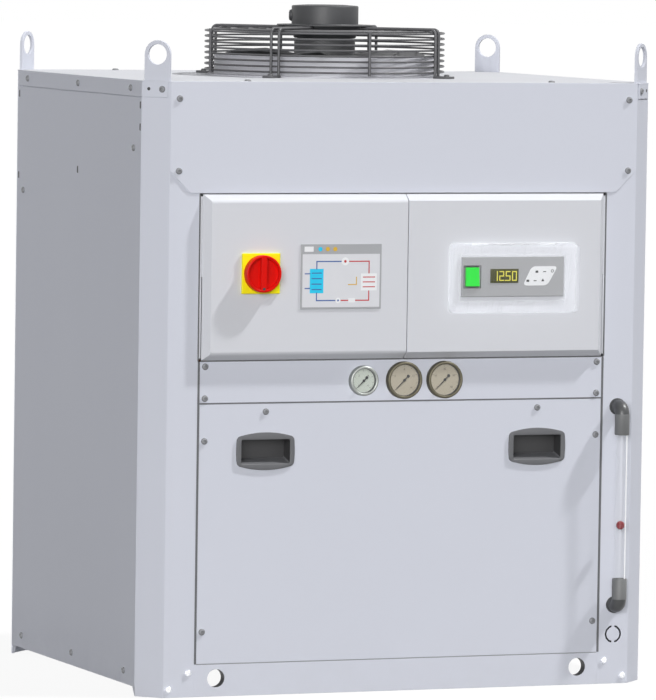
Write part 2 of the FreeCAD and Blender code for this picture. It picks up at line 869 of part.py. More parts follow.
# Electrical compartment behind the doors
def control_box():
    box_y = (front + d.sheet + d.hinge_sheet, front + d.box_depth)
    box_half = post_edge - d.box_side_gap
    outer = block("box_outer", (-box_half, box_half), box_y, (strip_high, fascia_low))
    inner = block("box_inner", (d.sheet - box_half, box_half - d.sheet), (box_y[0], box_y[1] - d.sheet),
                  (strip_high + d.sheet, fascia_low - d.sheet))
    node(cut("control_box", outer, [inner]), "control_box")
    plate_y = (box_y[1] - d.sheet - d.post_sheet, box_y[1] - d.sheet)
    gear = [block("gear_plate", around(as_size(0), d.gear_plate_width), plate_y,
                  around(door_middle, d.gear_plate_height))]
    upper = door_middle + d.gear_plate_height / 5
    for index in range(CONTACTORS):
        x = d.gear_pitch * (index - (CONTACTORS - 1) / 2)
        gear.append(block("contactor", around(x, d.contactor_width),
                          (plate_y[0] - d.contactor_depth, plate_y[0]), around(upper, d.contactor_height)))
    terminal_z = around(door_middle - d.gear_plate_height / 3, d.terminal_height)
    gear.append(block("terminal_row", around(as_size(0), d.gear_pitch * CONTACTORS),
                      (plate_y[0] - d.terminal_depth, plate_y[0]), terminal_z))
    node(group("control_gear_group", gear), "control_gear")


# Doors: bevelled trays with a back lip, hinged at their outer edges
door_edge = post_edge - d.hinge_gap
pivot_x = (post_edge + door_edge) / 2
pivot_y = front + d.edge_gap
hinge_low = door_middle - d.hinge_length / 2


def tray(name, side, y, outer_far, outer_near, z_far, z_near, split):
    # A frustum between two planes, with one straight side at the split between the doors
    shape = doc.addObject("Part::Wedge", name)
    far_x = span(side, split, outer_far)
    near_x = span(side, split, outer_near)
    bind(shape, Ymin=y[0], Ymax=y[1], Xmin=far_x[0], Xmax=far_x[1], X2min=near_x[0], X2max=near_x[1],
         Zmin=z_far[0], Zmax=z_far[1], Z2min=z_near[0], Z2max=z_near[1])
    return shape


def door(label, side, tools):
    split = d.seam / 2
    bevel = d.door_bevel
    outer = tray(label + "_outer", side, (face_y, front), door_edge - bevel, door_edge,
                 (door_low + bevel, door_high - bevel), (door_low, door_high), split)
    lip_front = front - d.sheet
    far = bevel * (d.door_stand - d.sheet) / d.door_stand + d.post_sheet
    near = bevel * d.sheet / d.door_stand + d.post_sheet
    inner = tray(label + "_inner", side, (face_y + d.sheet, lip_front), door_edge - far, door_edge - near,
                 (door_low + far, door_high - far), (door_low + near, door_high - near), split + d.sheet)
    window = block(label + "_window", span(side, split + d.door_lip, door_edge - d.door_lip),
                   (lip_front, front), (door_low + d.door_lip, door_high - d.door_lip))
    shell = cut(label + "_shell", outer, [fuse(label + "_hollow", [inner, window])] + tools)
    middle = hinge_low + d.hinge_length / 2
    knuckle_z = (middle + d.moving_gap, hinge_low + d.hinge_length)
    leaf = block(label + "_leaf", span(side, pivot_x - d.hinge_leaf, pivot_x),
                 (front, front + d.hinge_sheet - d.edge_gap / 2), knuckle_z)
    knuckle = prism(label + "_knuckle", KNUCKLE_SIDES, d.hinge_radius, knuckle_z[1] - knuckle_z[0],
                    side * pivot_x, pivot_y, knuckle_z[0])
    bore = rod(label + "_bore", d.hinge_pin_radius + d.running_gap, d.hinge_length, side * pivot_x, pivot_y,
               middle)
    node(cut(label, fuse(label + "_hinged", [shell, leaf, knuckle]), [bore]), label)


def hinges():
    # Lift-off hinges: the post half carries the pin
    halves = []
    for side in (-1, 1):
        leaf_y = (front + d.post_sheet, front + d.post_sheet + d.hinge_sheet)
        low = hinge_low
        middle = low + d.hinge_length / 2
        leaf = block("post_leaf", span(side, pivot_x - d.hinge_sheet / 2, pivot_x + d.hinge_leaf), leaf_y,
                     (low, middle))
        web = block("post_web", span(side, pivot_x - d.hinge_sheet / 2, pivot_x + d.hinge_sheet / 2),
                    (pivot_y, leaf_y[1]), (low, middle))
        knuckle = prism("post_knuckle", KNUCKLE_SIDES, d.hinge_radius, middle - low, side * pivot_x,
                        pivot_y, low)
        pin = rod("post_pin", d.hinge_pin_radius, d.hinge_length - d.edge_gap, side * pivot_x, pivot_y, low)
        halves.append(fuse("hinge_half", [leaf, web, knuckle, pin]))
    node(group("door_hinges_group", halves), "door_hinges")


def doors():
    switch_z = door_middle + d.switch_up
    shaft_hole = rod("door_shaft_hole", d.shaft_hole_radius, d.sheet, -d.switch_x, face_y, switch_z, ALONG_Y)
    door("left_door", -1, [shaft_hole])
    controller_z = door_middle + d.controller_up
    border = 2 * d.controller_border - d.edge_gap
    opening = block("door_controller_hole", around(d.controller_x, d.controller_width - border),
                    (face_y, face_y + d.sheet), around(controller_z, d.controller_height - border))
    door("right_door", 1, [opening])
    hinges()
    main_switch(-d.switch_x, switch_z)
    node(block("mimic_block", around(-d.mimic_x, d.mimic_width), (face_y - d.sheet, face_y),
               around(door_middle + d.mimic_up, d.mimic_height)), "mimic_plate")
    controller(controller_z)
    clear_cover(door_middle + d.cover_up)


# Main switch: yellow plate, red knob with its shaft, and the switch body behind the door
def main_switch(x, z):
    plate_y = (face_y - d.switch_plate_depth, face_y)
    bore_radius = d.shaft_radius + d.running_gap
    shield = block("switch_shield", around(x, d.switch_plate_width), plate_y, around(z, d.switch_plate_width))
    shield_bore = rod("switch_shield_bore", bore_radius, d.switch_plate_depth, x, plate_y[0], z, ALONG_Y)
    node(cut("switch_plate", shield, [shield_bore]), "switch_plate")
    body_y = (face_y + d.sheet, face_y + d.sheet + d.switch_body_depth)
    case = block("switch_case", around(x, d.switch_body_width), body_y, around(z, d.switch_body_width))
    case_bore = rod("switch_case_bore", bore_radius, d.shaft_reach, x, body_y[0], z, ALONG_Y)
    node(cut("switch_body", case, [case_bore]), "switch_body")
    disc_back = plate_y[0] - d.moving_gap
    disc_front = disc_back - d.knob_disc
    disc = prism("knob_disc_solid", ROUND_SIDES, d.knob_radius, d.knob_disc, x, disc_front, z, ALONG_Y)
    shaft = rod("knob_shaft", d.shaft_radius, d.shaft_reach, x, disc_back, z, ALONG_Y)
    # Two finger hollows leave a bar to grip between them
    dish = prism("knob_dish", ROUND_SIDES, d.knob_radius - d.knob_rim, d.knob_hollow, x, disc_front, z,
                 ALONG_Y)
    bar = block("knob_bar", around(x, d.knob_grip_width), (disc_front, disc_front + d.knob_hollow),
                around(z, 2 * d.knob_radius))
    hollows = cut("knob_hollows", dish, [bar])
    node(cut("switch_knob_cut", fuse("knob_solid", [disc, shaft]), [hollows]), "switch_knob")


# Controller with its rocker switch
def controller(z):
    face = block("controller_front", around(d.controller_x, d.controller_width),
                 (face_y - d.controller_face, face_y), around(z, d.controller_height))
    border = 2 * d.controller_border
    case = block("controller_case", around(d.controller_x, d.controller_width - border),
                 (face_y, face_y + d.controller_body_depth), around(z, d.controller_height - border))
    well_x = around(d.rocker_x, d.rocker_width + 2 * d.moving_gap)
    well = block("rocker_well_cut", well_x,
                 (face_y - d.controller_face, face_y - d.controller_face + d.rocker_well_depth),
                 around(z, d.rocker_well))
    pin_y = face_y + d.edge_gap
    pin_hole = rod("rocker_pin_hole", d.rocker_pin + d.running_gap,
                   d.rocker_width + 2 * (d.rocker_pin_reach + d.moving_gap),
                   d.rocker_x - d.rocker_width / 2 - d.rocker_pin_reach - d.moving_gap, pin_y, z, ALONG_X)
    node(cut("controller", fuse("controller_solid", [face, case]), [well, pin_hole]), "controller")
    # Two faces that meet at the middle, with the upper one pressed in
    body = new_body("rocker_key")
    drawing = sketch(body, "YZ_Plane", d.rocker_x - d.rocker_width / 2)
    half = d.rocker_height / 2
    pressed = face_y - d.controller_face - d.sheet / 2
    seat = face_y + d.sheet
    crown = pressed - d.rocker_crown / 4
    polygon(drawing, [(seat, z - half), (seat, z + half), (pressed, z + half), (crown, z),
                      (pressed - d.rocker_low_lift, z - half)])
    pad(body, drawing, d.rocker_width)
    pin = rod("rocker_axle", d.rocker_pin, d.rocker_width + 2 * d.rocker_pin_reach,
              d.rocker_x - d.rocker_width / 2 - d.rocker_pin_reach, pin_y, z, ALONG_X)
    node(fuse("rocker_fuse", [body, pin]), "rocker")


# Clear cover over the controller: a frame on the door and a lid that lifts on a top hinge
def clear_cover(z):
    frame_y = (face_y - d.frame_sheet, face_y)
    z_span = around(z, d.cover_height)
    x_span = around(d.cover_x, d.cover_width)
    pivot_z = z_span[1] - d.cover_knuckle
    lid_back = frame_y[0] - d.moving_gap
    lid_pivot_y = lid_back - d.cover_knuckle
    lid_top = pivot_z - d.moving_gap
    outer = block("frame_outer", x_span, frame_y, z_span)
    inner = block("frame_inner", around(d.cover_x, d.cover_width - 2 * d.frame_border), frame_y,
                  around(z, d.cover_height - 2 * d.frame_border))
    frame = cut("frame_ring", outer, [inner])
    shell = block("lid_outer", x_span, (lid_back - d.cover_depth, lid_back), (z_span[0], lid_top))
    wall = d.cover_wall
    hollow = block("lid_inner", (x_span[0] + wall, x_span[1] - wall),
                   (lid_back - d.cover_depth + wall, lid_back), (z_span[0] + wall, lid_top - wall))
    thumb = block("lid_thumb", around(d.cover_x, d.cover_tab_width),
                  (lid_back - d.cover_depth, lid_back - d.cover_depth + wall),
                  (z_span[0] - d.cover_tab_drop, z_span[0] + wall))
    lid_knuckle = prism("lid_knuckle", KNUCKLE_SIDES, d.cover_knuckle, d.cover_knuckle_width,
                        d.cover_x - d.cover_knuckle_width / 2, lid_pivot_y, pivot_z, ALONG_X)
    lid_bore = rod("lid_bore", d.cover_pin + d.running_gap, d.cover_width, x_span[0], lid_pivot_y, pivot_z,
                   ALONG_X)
    frame_parts, notches = [frame], []
    ear = d.cover_knuckle_width / 3
    room = d.cover_knuckle + d.moving_gap
    for side in (-1, 1):
        start = d.cover_x + side * (d.cover_knuckle_width / 2 + d.moving_gap)
        ear_x = (start, start + ear) if side > 0 else (start - ear, start)
        frame_parts.append(prism("frame_knuckle", KNUCKLE_SIDES, d.cover_knuckle, ear, ear_x[0],
                                 lid_pivot_y, pivot_z, ALONG_X))
        frame_parts.append(block("frame_ear", ear_x, (lid_pivot_y, frame_y[0]), (pivot_z, z_span[1])))
        notches.append(block("lid_notch", (ear_x[0] - d.moving_gap, ear_x[1] + d.moving_gap),
                             (lid_pivot_y - room, lid_back), (pivot_z - room, lid_top)))
    pin_length = d.cover_knuckle_width + ear
    frame_parts.append(rod("frame_pin", d.cover_pin, pin_length, d.cover_x - pin_length / 2, lid_pivot_y,
                           pivot_z, ALONG_X))
    node(fuse("cover_frame_fuse", frame_parts), "cover_frame")
    lid = cut("lid_notched", cut("lid_shell", shell, [hollow]), notches)
    node(cut("clear_cover", fuse("lid_solid", [lid, thumb, lid_knuckle]), [lid_bore]), "clear_cover")


# Pressure gauges: cases in the strip, dials, pointers on spindles and lenses
def gauges():
    cases, lenses = [], []
    pointer_lift = d.gauge_stand - d.dial_depth + d.pointer_float
    for name, x, z, radius in gauge_places():
        barrel = radius - d.gauge_rim
        dial = d.gauge_stand - d.dial_depth
        bore = d.spindle_radius + d.running_gap
        well = dial - d.spindle_depth
        bezel = prism("gauge_bezel_" + name, RING_SIDES, radius, d.gauge_stand, x, front, z, TO_FRONT)
        stem = prism("gauge_barrel_" + name, ELBOW_SIDES, barrel, d.gauge_depth, x, front, z, ALONG_Y)
        hollow = prism("gauge_hollow_" + name, RING_SIDES, barrel, d.dial_depth, x, front - dial, z, TO_FRONT)
        socket = rod("gauge_socket_" + name, bore, d.spindle_depth, x, front - well, z, TO_FRONT)
        cases.append(cut("gauge_case_" + name, fuse("gauge_solid_" + name, [bezel, stem]), [hollow, socket]))
        lens_y = front - d.gauge_stand + d.sheet
        lenses.append(prism("gauge_lens_" + name, RING_SIDES, barrel - d.running_gap, d.lens_sheet, x,
                            lens_y, z, ALONG_Y))
        pointer("pointer_" + name, x, z, barrel, front - pointer_lift)
    node(group("gauge_cases_group", cases), "gauge_cases")
    node(group("gauge_lenses_group", lenses), "gauge_lenses")


def pointer(label, x, z, reach, y):
    # The needle rests at the start of the scale, down to the left
    body = new_body(label + "_needle")
    drawing = sketch(body, "XY_Plane")
    half, tail = d.pointer_width / 2, reach / 3
    tip = reach - d.gauge_rim
    polygon(drawing, [(-tip, as_size(0)), (as_size(0), -half), (tail, -d.pointer_width),
                      (tail, d.pointer_width), (as_size(0), half)])
    pad(body, drawing, d.pointer_sheet)
    hub = prism(label + "_hub", PIPE_SIDES, d.pointer_hub, d.pointer_sheet, 0, 0, 0)
    spindle = rod(label + "_spindle", d.spindle_radius, d.spindle_depth + d.pointer_float / 2, 0, 0,
                  d.pointer_float / 2 - d.spindle_depth - d.pointer_float)
    needle = fuse(label + "_fuse", [body, hub, spindle])
    slant = Rotation(Vector(0, 0, 1), 45)
    place(needle, x, y, z, TO_FRONT.multiply(slant))
    node(needle, label)


# Level gauge on the right front post: two elbows into the tank, a clear tube and its float
def level_gauge():
    tube_y = front - d.level_stand
    elbows = []
    for name, height, up in (("upper", level_high, -1), ("lower", d.level_low, 1)):
        bend = d.elbow_radius
        route = [(front, height), (tube_y + bend, height), (tube_y, height + up * bend),
                 (tube_y, height + up * d.elbow_socket)]
        arm = pipe("elbow_" + name, ELBOW_SIDES, d.elbow_radius, ("XZ_Plane", -front, (level_x, height)),
                   ("YZ_Plane", level_x, route))
        stub = prism("elbow_stub_" + name, ELBOW_SIDES, d.stub_radius, d.tank_front_gap, level_x, front,
                     height, ALONG_Y)
        rosette = prism("elbow_rosette_" + name, ELBOW_SIDES, d.rosette_radius, d.rosette_sheet, level_x,
                        front, height, TO_FRONT)
        grip_low = height - d.elbow_socket if up < 0 else height + d.elbow_socket - d.tube_grip
        bore = prism("elbow_bore_" + name, ELBOW_SIDES, d.tube_radius + d.running_gap, d.tube_grip, level_x,
                     tube_y, grip_low)
        elbows.append(cut("elbow_bored_" + name, fuse("elbow_solid_" + name, [arm, stub, rosette]), [bore]))
    node(group("level_elbows_group", elbows), "level_elbows")
    tube_low = d.level_low + d.elbow_socket - d.tube_grip
    tube_high = level_high - d.elbow_socket + d.tube_grip
    tube_length = tube_high - tube_low
    glass = prism("tube_outer", ELBOW_SIDES, d.tube_radius, tube_length, level_x, tube_y, tube_low)
    water = prism("tube_inner", ELBOW_SIDES, d.tube_radius - d.tube_wall, tube_length, level_x, tube_y,
                  tube_low)
    node(cut("level_tube", glass, [water]), "level_tube")
    ball_z = (d.float_level - d.float_radius, d.float_level + d.float_radius)
    bevel = d.float_radius / ROOT_TWO * BEND_TRIM * 2
    node(faceted("float_body", ELBOW_SIDES, d.float_radius, ball_z, bevel, level_x, tube_y, both_ends=True),
         "float_ball")


# Roof fan: shroud, motor on the guard's arms, and an impeller on the motor's shaft
hub_low = d.case_height + d.hub_rise
hub_high = hub_low + d.hub_height
neck_low = hub_high + d.motor_gap
arm_top = d.case_height + d.guard_height


def fan():
    low = d.case_height
    wall = d.throat_radius + d.shroud_wall
    tube = prism("shroud_tube", SHROUD_SIDES, wall / SHROUD_FLAT, d.shroud_height, 0, d.fan_y, low)
    flange = prism("shroud_flange_ring", SHROUD_SIDES, wall + d.shroud_flange, d.shroud_flange_sheet, 0,
                   d.fan_y, low)
    throat = prism("shroud_throat", SHROUD_SIDES, d.throat_radius / SHROUD_FLAT, d.shroud_height, 0,
                   d.fan_y, low)
    node(cut("fan_shroud", fuse("shroud_solid", [tube, flange]), [throat]), "fan_shroud")
    plate_top = arm_top + d.motor_plate_sheet
    can_top = plate_top + d.motor_can_height
    neck = prism("motor_neck", RING_SIDES, d.motor_neck_radius, arm_top - neck_low, 0, d.fan_y, neck_low)
    disc = prism("motor_plate", ROUND_SIDES, d.motor_plate_radius, d.motor_plate_sheet, 0, d.fan_y, arm_top)
    can = faceted("motor_can", ROUND_SIDES, d.motor_can_radius, (plate_top, can_top), d.motor_can_edge, 0,
                  d.fan_y)
    bore = rod("motor_bore", d.motor_shaft_radius + d.running_gap, d.motor_shaft_length + d.edge_gap, 0,
               d.fan_y, hub_high)
    node(cut("fan_motor", fuse("motor_solid", [neck, disc, can]), [bore]), "fan_motor")
    impeller()
    guard()


# Outline of a blade as shares of its tip radius and half its tip chord
CAMBER_STEPS = (-1, -0.4, 0.4, 1)
TRAILING_BEND = 0.62
TRAILING_CORNER = 0.86
TIP_CORNER = 0.95
TIP_REACH = 0.99
LEADING_EDGE = ((0.97, 0.4), (0.88, 0.8), (0.6, 0.9))


def blade(name, angle):
    # A cambered plate set at the blade's pitch and trimmed to a sickle outline
    root, tip = d.hub_radius - d.blade_sheet * 2, d.throat_radius - d.tip_gap
    sheet = new_body(name + "_sheet")
    drawing = sketch(sheet, "YZ_Plane", root)
    drawing.AttachmentOffset = Placement(Vector(), Rotation(Vector(0, 0, 1), d.blade_pitch.value))
    drawing.setExpression("AttachmentOffset.Base.y", (d.case_height + d.blade_rise).text)
    drawing.setExpression("AttachmentOffset.Rotation.Angle", "dims.blade_pitch * 1 deg")
    drawing.setExpression("AttachmentOffset.Base.z", root.text)
    half = d.blade_chord / 2
    camber = [(half * step, d.blade_camber * (1 - step * step)) for step in CAMBER_STEPS]
    polygon(drawing, camber + [(s, n - d.blade_sheet) for s, n in reversed(camber)])
    pad(sheet, drawing, tip - root)
    narrow = d.blade_root_chord / 2
    wide = d.blade_tip_chord / 2
    trailing = [(root, -narrow), (tip * TRAILING_BEND, -narrow),
                (tip * TRAILING_CORNER, d.blade_sweep / 2 - wide)]
    leading = [(tip * reach, wide * share) for reach, share in LEADING_EDGE]
    end = [(tip * TIP_CORNER, d.blade_sweep - wide), (tip * TIP_REACH, as_size(0))]
    outline = plate(name + "_outline", trailing + end + leading + [(root, narrow)],
                    d.case_height - d.hub_height, d.hub_height * 3)
    return place(common(name, sheet, outline), 0, 0, 0, Rotation(Vector(0, 0, 1), angle))


def impeller():
    hub = prism("impeller_hub", ROUND_SIDES, d.hub_radius, d.hub_height, 0, 0, hub_low)
    shaft = rod("impeller_shaft", d.motor_shaft_radius, d.motor_shaft_length, 0, 0, hub_high)
    blades = [blade(f"impeller_blade_{index}", BLADE_START + 360 * index / BLADES) for index in range(BLADES)]
    node(place(fuse("impeller_fuse", [hub, shaft] + blades), 0, d.fan_y, 0), "impeller")


def guard_ring(radius, low):
    # A wire ring of flat stretches, so that the rods lie against it
    turn = Rotation(Vector(0, 0, 1), 180 / GUARD_SIDES)
    outer = prism("ring_outer", GUARD_SIDES, radius / GUARD_FLAT, d.guard_wire, 0, d.fan_y, low, turn)
    inner = prism("ring_inner", GUARD_SIDES, (radius - d.guard_wire) / GUARD_FLAT, d.guard_wire, 0, d.fan_y,
                  low, turn)
    return cut("guard_ring", outer, [inner])


def guard_arm(angle, aside):
    # A rod that rises from its foot outside the rings, bends over them and runs in under the motor plate
    body = new_body("guard_arm")
    drawing = sketch(body, "XZ_Plane", -aside - d.guard_rod / 2)
    thick, bend = d.guard_rod, d.guard_bend
    out = guard_radius + thick
    inside = bend - thick * BEND_TRIM
    foot = d.case_height + d.guard_foot_sheet
    near = d.motor_neck_radius + thick
    polygon(drawing, [
        (out, foot), (out, arm_top - bend), (out - bend, arm_top), (near, arm_top),
        (near, arm_top - thick), (guard_radius - inside, arm_top - thick),
        (guard_radius, arm_top - thick - inside), (guard_radius, foot),
    ])
    pad(body, drawing, thick)
    return place(body, 0, d.fan_y, 0, Rotation(Vector(0, 0, 1), angle))


def guard():
    first = d.case_height + d.guard_first_ring - d.guard_wire / 2
    hoops = [guard_ring(guard_radius, first + d.guard_ring_pitch * index) for index in range(SIDE_RINGS)]
    node(group("guard_side_group", hoops), "guard_side_rings")
    widest = guard_radius - d.guard_top_edge
    top_low = arm_top - d.guard_rod - d.guard_wire
    hoops = [guard_ring(widest - d.guard_top_pitch * index, top_low) for index in range(TOP_RINGS)]
    node(group("guard_top_group", hoops), "guard_top_rings")
    wires = []
    for quarter in range(4):
        diagonal = 45 + 90 * quarter
        for side in (-1, 1):
            wires.append(guard_arm(diagonal, side * d.guard_rod_gap / 2))
        foot = block("guard_foot", (as_size(0), d.guard_foot_length), around(as_size(0), d.guard_foot_width),
                     (as_size(0), d.guard_foot_sheet))
        wires.append(place_turned(foot, diagonal, guard_radius, -d.guard_foot_width / 2, d.case_height))
        tie = block("guard_tie", (as_size(0), d.guard_rod), around(as_size(0), d.guard_rod),
                    (as_size(0), d.guard_ring_pitch * SIDE_RINGS))
        wires.append(place_turned(tie, 90 * quarter, guard_radius, -d.guard_rod / 2,
                                  d.case_height + d.guard_first_ring / 2))
    node(group("guard_arms_group", wires), "guard_arms")


def place_turned(thing, angle, along, across, z):
    # A place given along and across a direction from the fan's axis
    cosine, sine = direction(angle)
    return place(thing, along * cosine - across * sine, d.fan_y + along * sine + across * cosine, z,
                 Rotation(Vector(0, 0, 1), angle))


# Refrigerant circuit: condenser coil, compressor and pipes
def condenser_coil():
    reach = half_depth - d.coil_side_gap
    flat = Size("cos(dims.coil_tilt * 1 deg)", math.cos(math.radians(d.coil_tilt.value)))
    lean = Size("sin(dims.coil_tilt * 1 deg)", math.sin(math.radians(d.coil_tilt.value)))
    side = half_width - d.sheet - d.post_sheet

    def slab(name, x, length, thickness):
        part = doc.addObject("Part::Box", name)
        bind(part, Length=x[1] - x[0], Width=length, Height=thickness)
        half, up = length / 2, thickness / 2
        place(part, x[0], -half * flat - up * lean, coil_middle + half * lean - up * flat,
              Rotation(Vector(1, 0, 0), -d.coil_tilt.value))
        part.setExpression("Placement.Rotation.Angle", "-dims.coil_tilt")
        return part

    length = 2 * reach
    fins = slab("coil_fins", (d.coil_plate - side, side - d.coil_plate), length - 2 * d.coil_plate_rise,
                d.coil_thickness)
    plates = []
    for x in ((-side, d.coil_plate - side), (side - d.coil_plate, side)):
        plates.append(slab("coil_plate_side", x, length, d.coil_thickness + 2 * d.coil_plate_rise))
    stubs = []
    for x, y in ((d.compressor_x, compressor_y), (d.liquid_x, d.evaporator_y)):
        stub_low = coil_middle - coil_drop(y) - d.coil_stub_drop
        stubs.append(prism("coil_stub", PIPE_SIDES, d.pipe_radius, d.coil_stub_drop, x, y, stub_low))
    node(fuse("condenser_coil_fuse", [fins] + plates + stubs), "condenser_coil")


def compressor():
    low = pan_top + d.compressor_foot_sheet
    top = low + d.compressor_height
    shell = faceted("compressor_shell", RING_SIDES, d.compressor_radius, (low, top), d.compressor_dome,
                    d.compressor_x, compressor_y)
    outlet = prism("compressor_outlet", PIPE_SIDES, d.pipe_radius, d.suction_reach, d.compressor_x,
                   compressor_y, top)
    foot = block("compressor_base", around(d.compressor_x, 2 * d.compressor_foot),
                 around(compressor_y, 2 * d.compressor_foot), (pan_top, low))
    stub = prism("compressor_stub", PIPE_SIDES, d.pipe_radius, d.compressor_radius + d.suction_reach,
                 d.compressor_x, compressor_y, d.suction_height, ALONG_X)
    node(fuse("compressor_fuse", [shell, outlet, foot, stub]), "compressor")


def refrigerant_pipes():
    bend = d.pipe_bend
    compressor_top = pan_top + d.compressor_foot_sheet + d.compressor_height + d.suction_reach
    coil_low = coil_middle - coil_drop(compressor_y) - d.coil_stub_drop
    discharge = prism("discharge_pipe", PIPE_SIDES, d.pipe_radius, coil_low - compressor_top, d.compressor_x,
                      compressor_y, compressor_top)
    start_x = d.compressor_x + d.compressor_radius + d.suction_reach
    end_x = d.evaporator_x - d.evaporator_width / 2 - d.evaporator_stub
    turn_x, start_y, end_y = d.suction_x, compressor_y, d.evaporator_y
    suction = pipe("suction_pipe", PIPE_SIDES, d.pipe_radius,
                   ("YZ_Plane", start_x, (start_y, d.suction_height)), ("XY_Plane", d.suction_height, [
                       (start_x, start_y), (turn_x - bend, start_y), (turn_x, start_y + bend),
                       (turn_x, end_y - bend), (turn_x + bend, end_y), (end_x, end_y)]))
    liquid_high = coil_middle - coil_drop(end_y) - d.coil_stub_drop
    liquid = pipe("liquid_pipe", PIPE_SIDES, d.pipe_radius, ("XY_Plane", liquid_high, (d.liquid_x, end_y)),
                  ("XZ_Plane", -end_y, [
                      (d.liquid_x, liquid_high), (d.liquid_x, d.liquid_height + bend),
                      (d.liquid_x + bend, d.liquid_height), (end_x, d.liquid_height)]))
    drier = prism("filter_drier", PIPE_SIDES, d.drier_radius, d.drier_length, d.liquid_x, end_y,
                  d.drier_height)
    line = fuse("liquid_line", [liquid, drier])
    node(group("refrigerant_pipes_group", [discharge, suction, line]), "refrigerant_pipes")


# Water circuit: tank, pump, plate evaporator and the ports at the back
def water_circuit():
    tank_x = (d.tank_x, half_width - d.sheet - d.tank_side_gap)
    tank_y = (front + d.tank_front_gap, front + d.tank_front_gap + d.tank_depth)
    tank = new_body("water_tank_body")
    drawing = sketch(tank, "XY_Plane", pan_top)
    corner = d.tank_corner
    polygon(drawing, octagon((tank_x[1] - tank_x[0]) / 2, d.tank_depth / 2, corner))
    pad(tank, drawing, tank_top - pan_top)
    place(tank, (tank_x[0] + tank_x[1]) / 2, (tank_y[0] + tank_y[1]) / 2, 0)
    node(tank, "water_tank")
    evaporator()
    pump()
    bend = d.water_pipe_bend
    inlet = port("inlet", inlet_x, d.inlet_height, tank_y[1])
    outlet = port("outlet", d.evaporator_x, d.outlet_height,
                  d.evaporator_y + d.evaporator_depth / 2 + d.evaporator_stub)
    pump_front = d.pump_end_x + d.pump_end_length
    suction = prism("pump_suction", PIPE_SIDES, d.water_pipe_radius, d.tank_x - pump_front, pump_front,
                    d.pump_y, d.pump_height, ALONG_X)
    riser_low = d.pump_height + d.pump_end_radius + d.evaporator_stub
    end_y = d.evaporator_y - d.evaporator_depth / 2 - d.evaporator_stub
    delivery = pipe("pump_delivery", PIPE_SIDES, d.water_pipe_radius,
                    ("XY_Plane", riser_low, (d.evaporator_x, d.pump_y)),
                    ("YZ_Plane", d.evaporator_x, [
                        (d.pump_y, riser_low), (d.pump_y, d.outlet_height - bend),
                        (d.pump_y + bend, d.outlet_height), (end_y, d.outlet_height)]))
    node(group("water_pipes_group", [inlet, outlet, suction, delivery]), "water_pipes")


def evaporator():
    x, y = d.evaporator_x, d.evaporator_y
    case = block("evaporator_case", around(x, d.evaporator_width), around(y, d.evaporator_depth),
                 (pan_top, pan_top + d.evaporator_height))
    stubs = []
    stub_y = d.evaporator_depth / 2 + d.evaporator_stub
    stubs.append(prism("evaporator_water", PIPE_SIDES, d.water_pipe_radius, 2 * stub_y, x, y - stub_y,
                       d.outlet_height, ALONG_Y))
    reach = d.evaporator_width / 2 + d.evaporator_stub
    for height in (d.suction_height, d.liquid_height):
        stubs.append(prism("evaporator_gas", PIPE_SIDES, d.pipe_radius, reach, x - reach, y, height, ALONG_X))
    node(fuse("evaporator_fuse", [case] + stubs), "evaporator")


def pump():
    y, z, x = d.pump_y, d.pump_height, d.pump_end_x
    wet_end = prism("pump_wet_end", RING_SIDES, d.pump_end_radius, d.pump_end_length, x, y, z, ALONG_X)
    motor = prism("pump_motor", RING_SIDES, d.pump_motor_radius, d.pump_motor_length, x - d.pump_motor_length,
                  y, z, ALONG_X)
    foot = block("pump_foot", (x - d.pump_motor_length * 3 / 4, x + d.pump_end_length),
                 around(y, d.pump_foot_width), (pan_top, z))
    nozzle = prism("pump_nozzle", PIPE_SIDES, d.water_pipe_radius, d.pump_end_radius + d.evaporator_stub,
                   d.evaporator_x, y, z)
    node(fuse("pump_fuse", [wet_end, motor, foot, nozzle]), "pump")


def port(name, x, z, inner_y):
    # A pipe out through the rear panel with a nut against the sheet
    tail = prism("port_tail_" + name, PIPE_SIDES, d.water_pipe_radius, back - d.sheet - inner_y, x, inner_y,
                 z, ALONG_Y)
    spigot = rod("port_spigot_" + name, d.water_pipe_radius, d.port_stand + d.sheet, x, back - d.sheet, z,
                 ALONG_Y)
    nut = prism("port_nut_" + name, NUT_SIDES, d.port_nut_radius, d.port_nut, x, back, z, ALONG_Y)
    bore = prism("port_bore_" + name, PIPE_SIDES, d.water_pipe_radius - d.tube_wall * 2, d.port_stand, x,
                 back, z, ALONG_Y)
    return cut("port_pipe_" + name, fuse("port_solid_" + name, [tail, spigot, nut]), [bore])


def cable_gland():
    sleeve = prism("gland_sleeve", PIPE_SIDES, d.gland_radius, d.gland_length + d.sheet, d.gland_x,
                   back - d.sheet, d.gland_height, ALONG_Y)
    nut = prism("gland_hex", NUT_SIDES, d.gland_nut_radius, d.gland_nut, d.gland_x, back, d.gland_height,
                ALONG_Y)
    node(fuse("cable_gland_fuse", [sleeve, nut]), "cable_gland")


# Screws: plain heads on the panels
def screw(x, y, z, turn):
    return prism("screw", SCREW_SIDES, d.screw_radius, d.screw_head, x, y, z, turn)


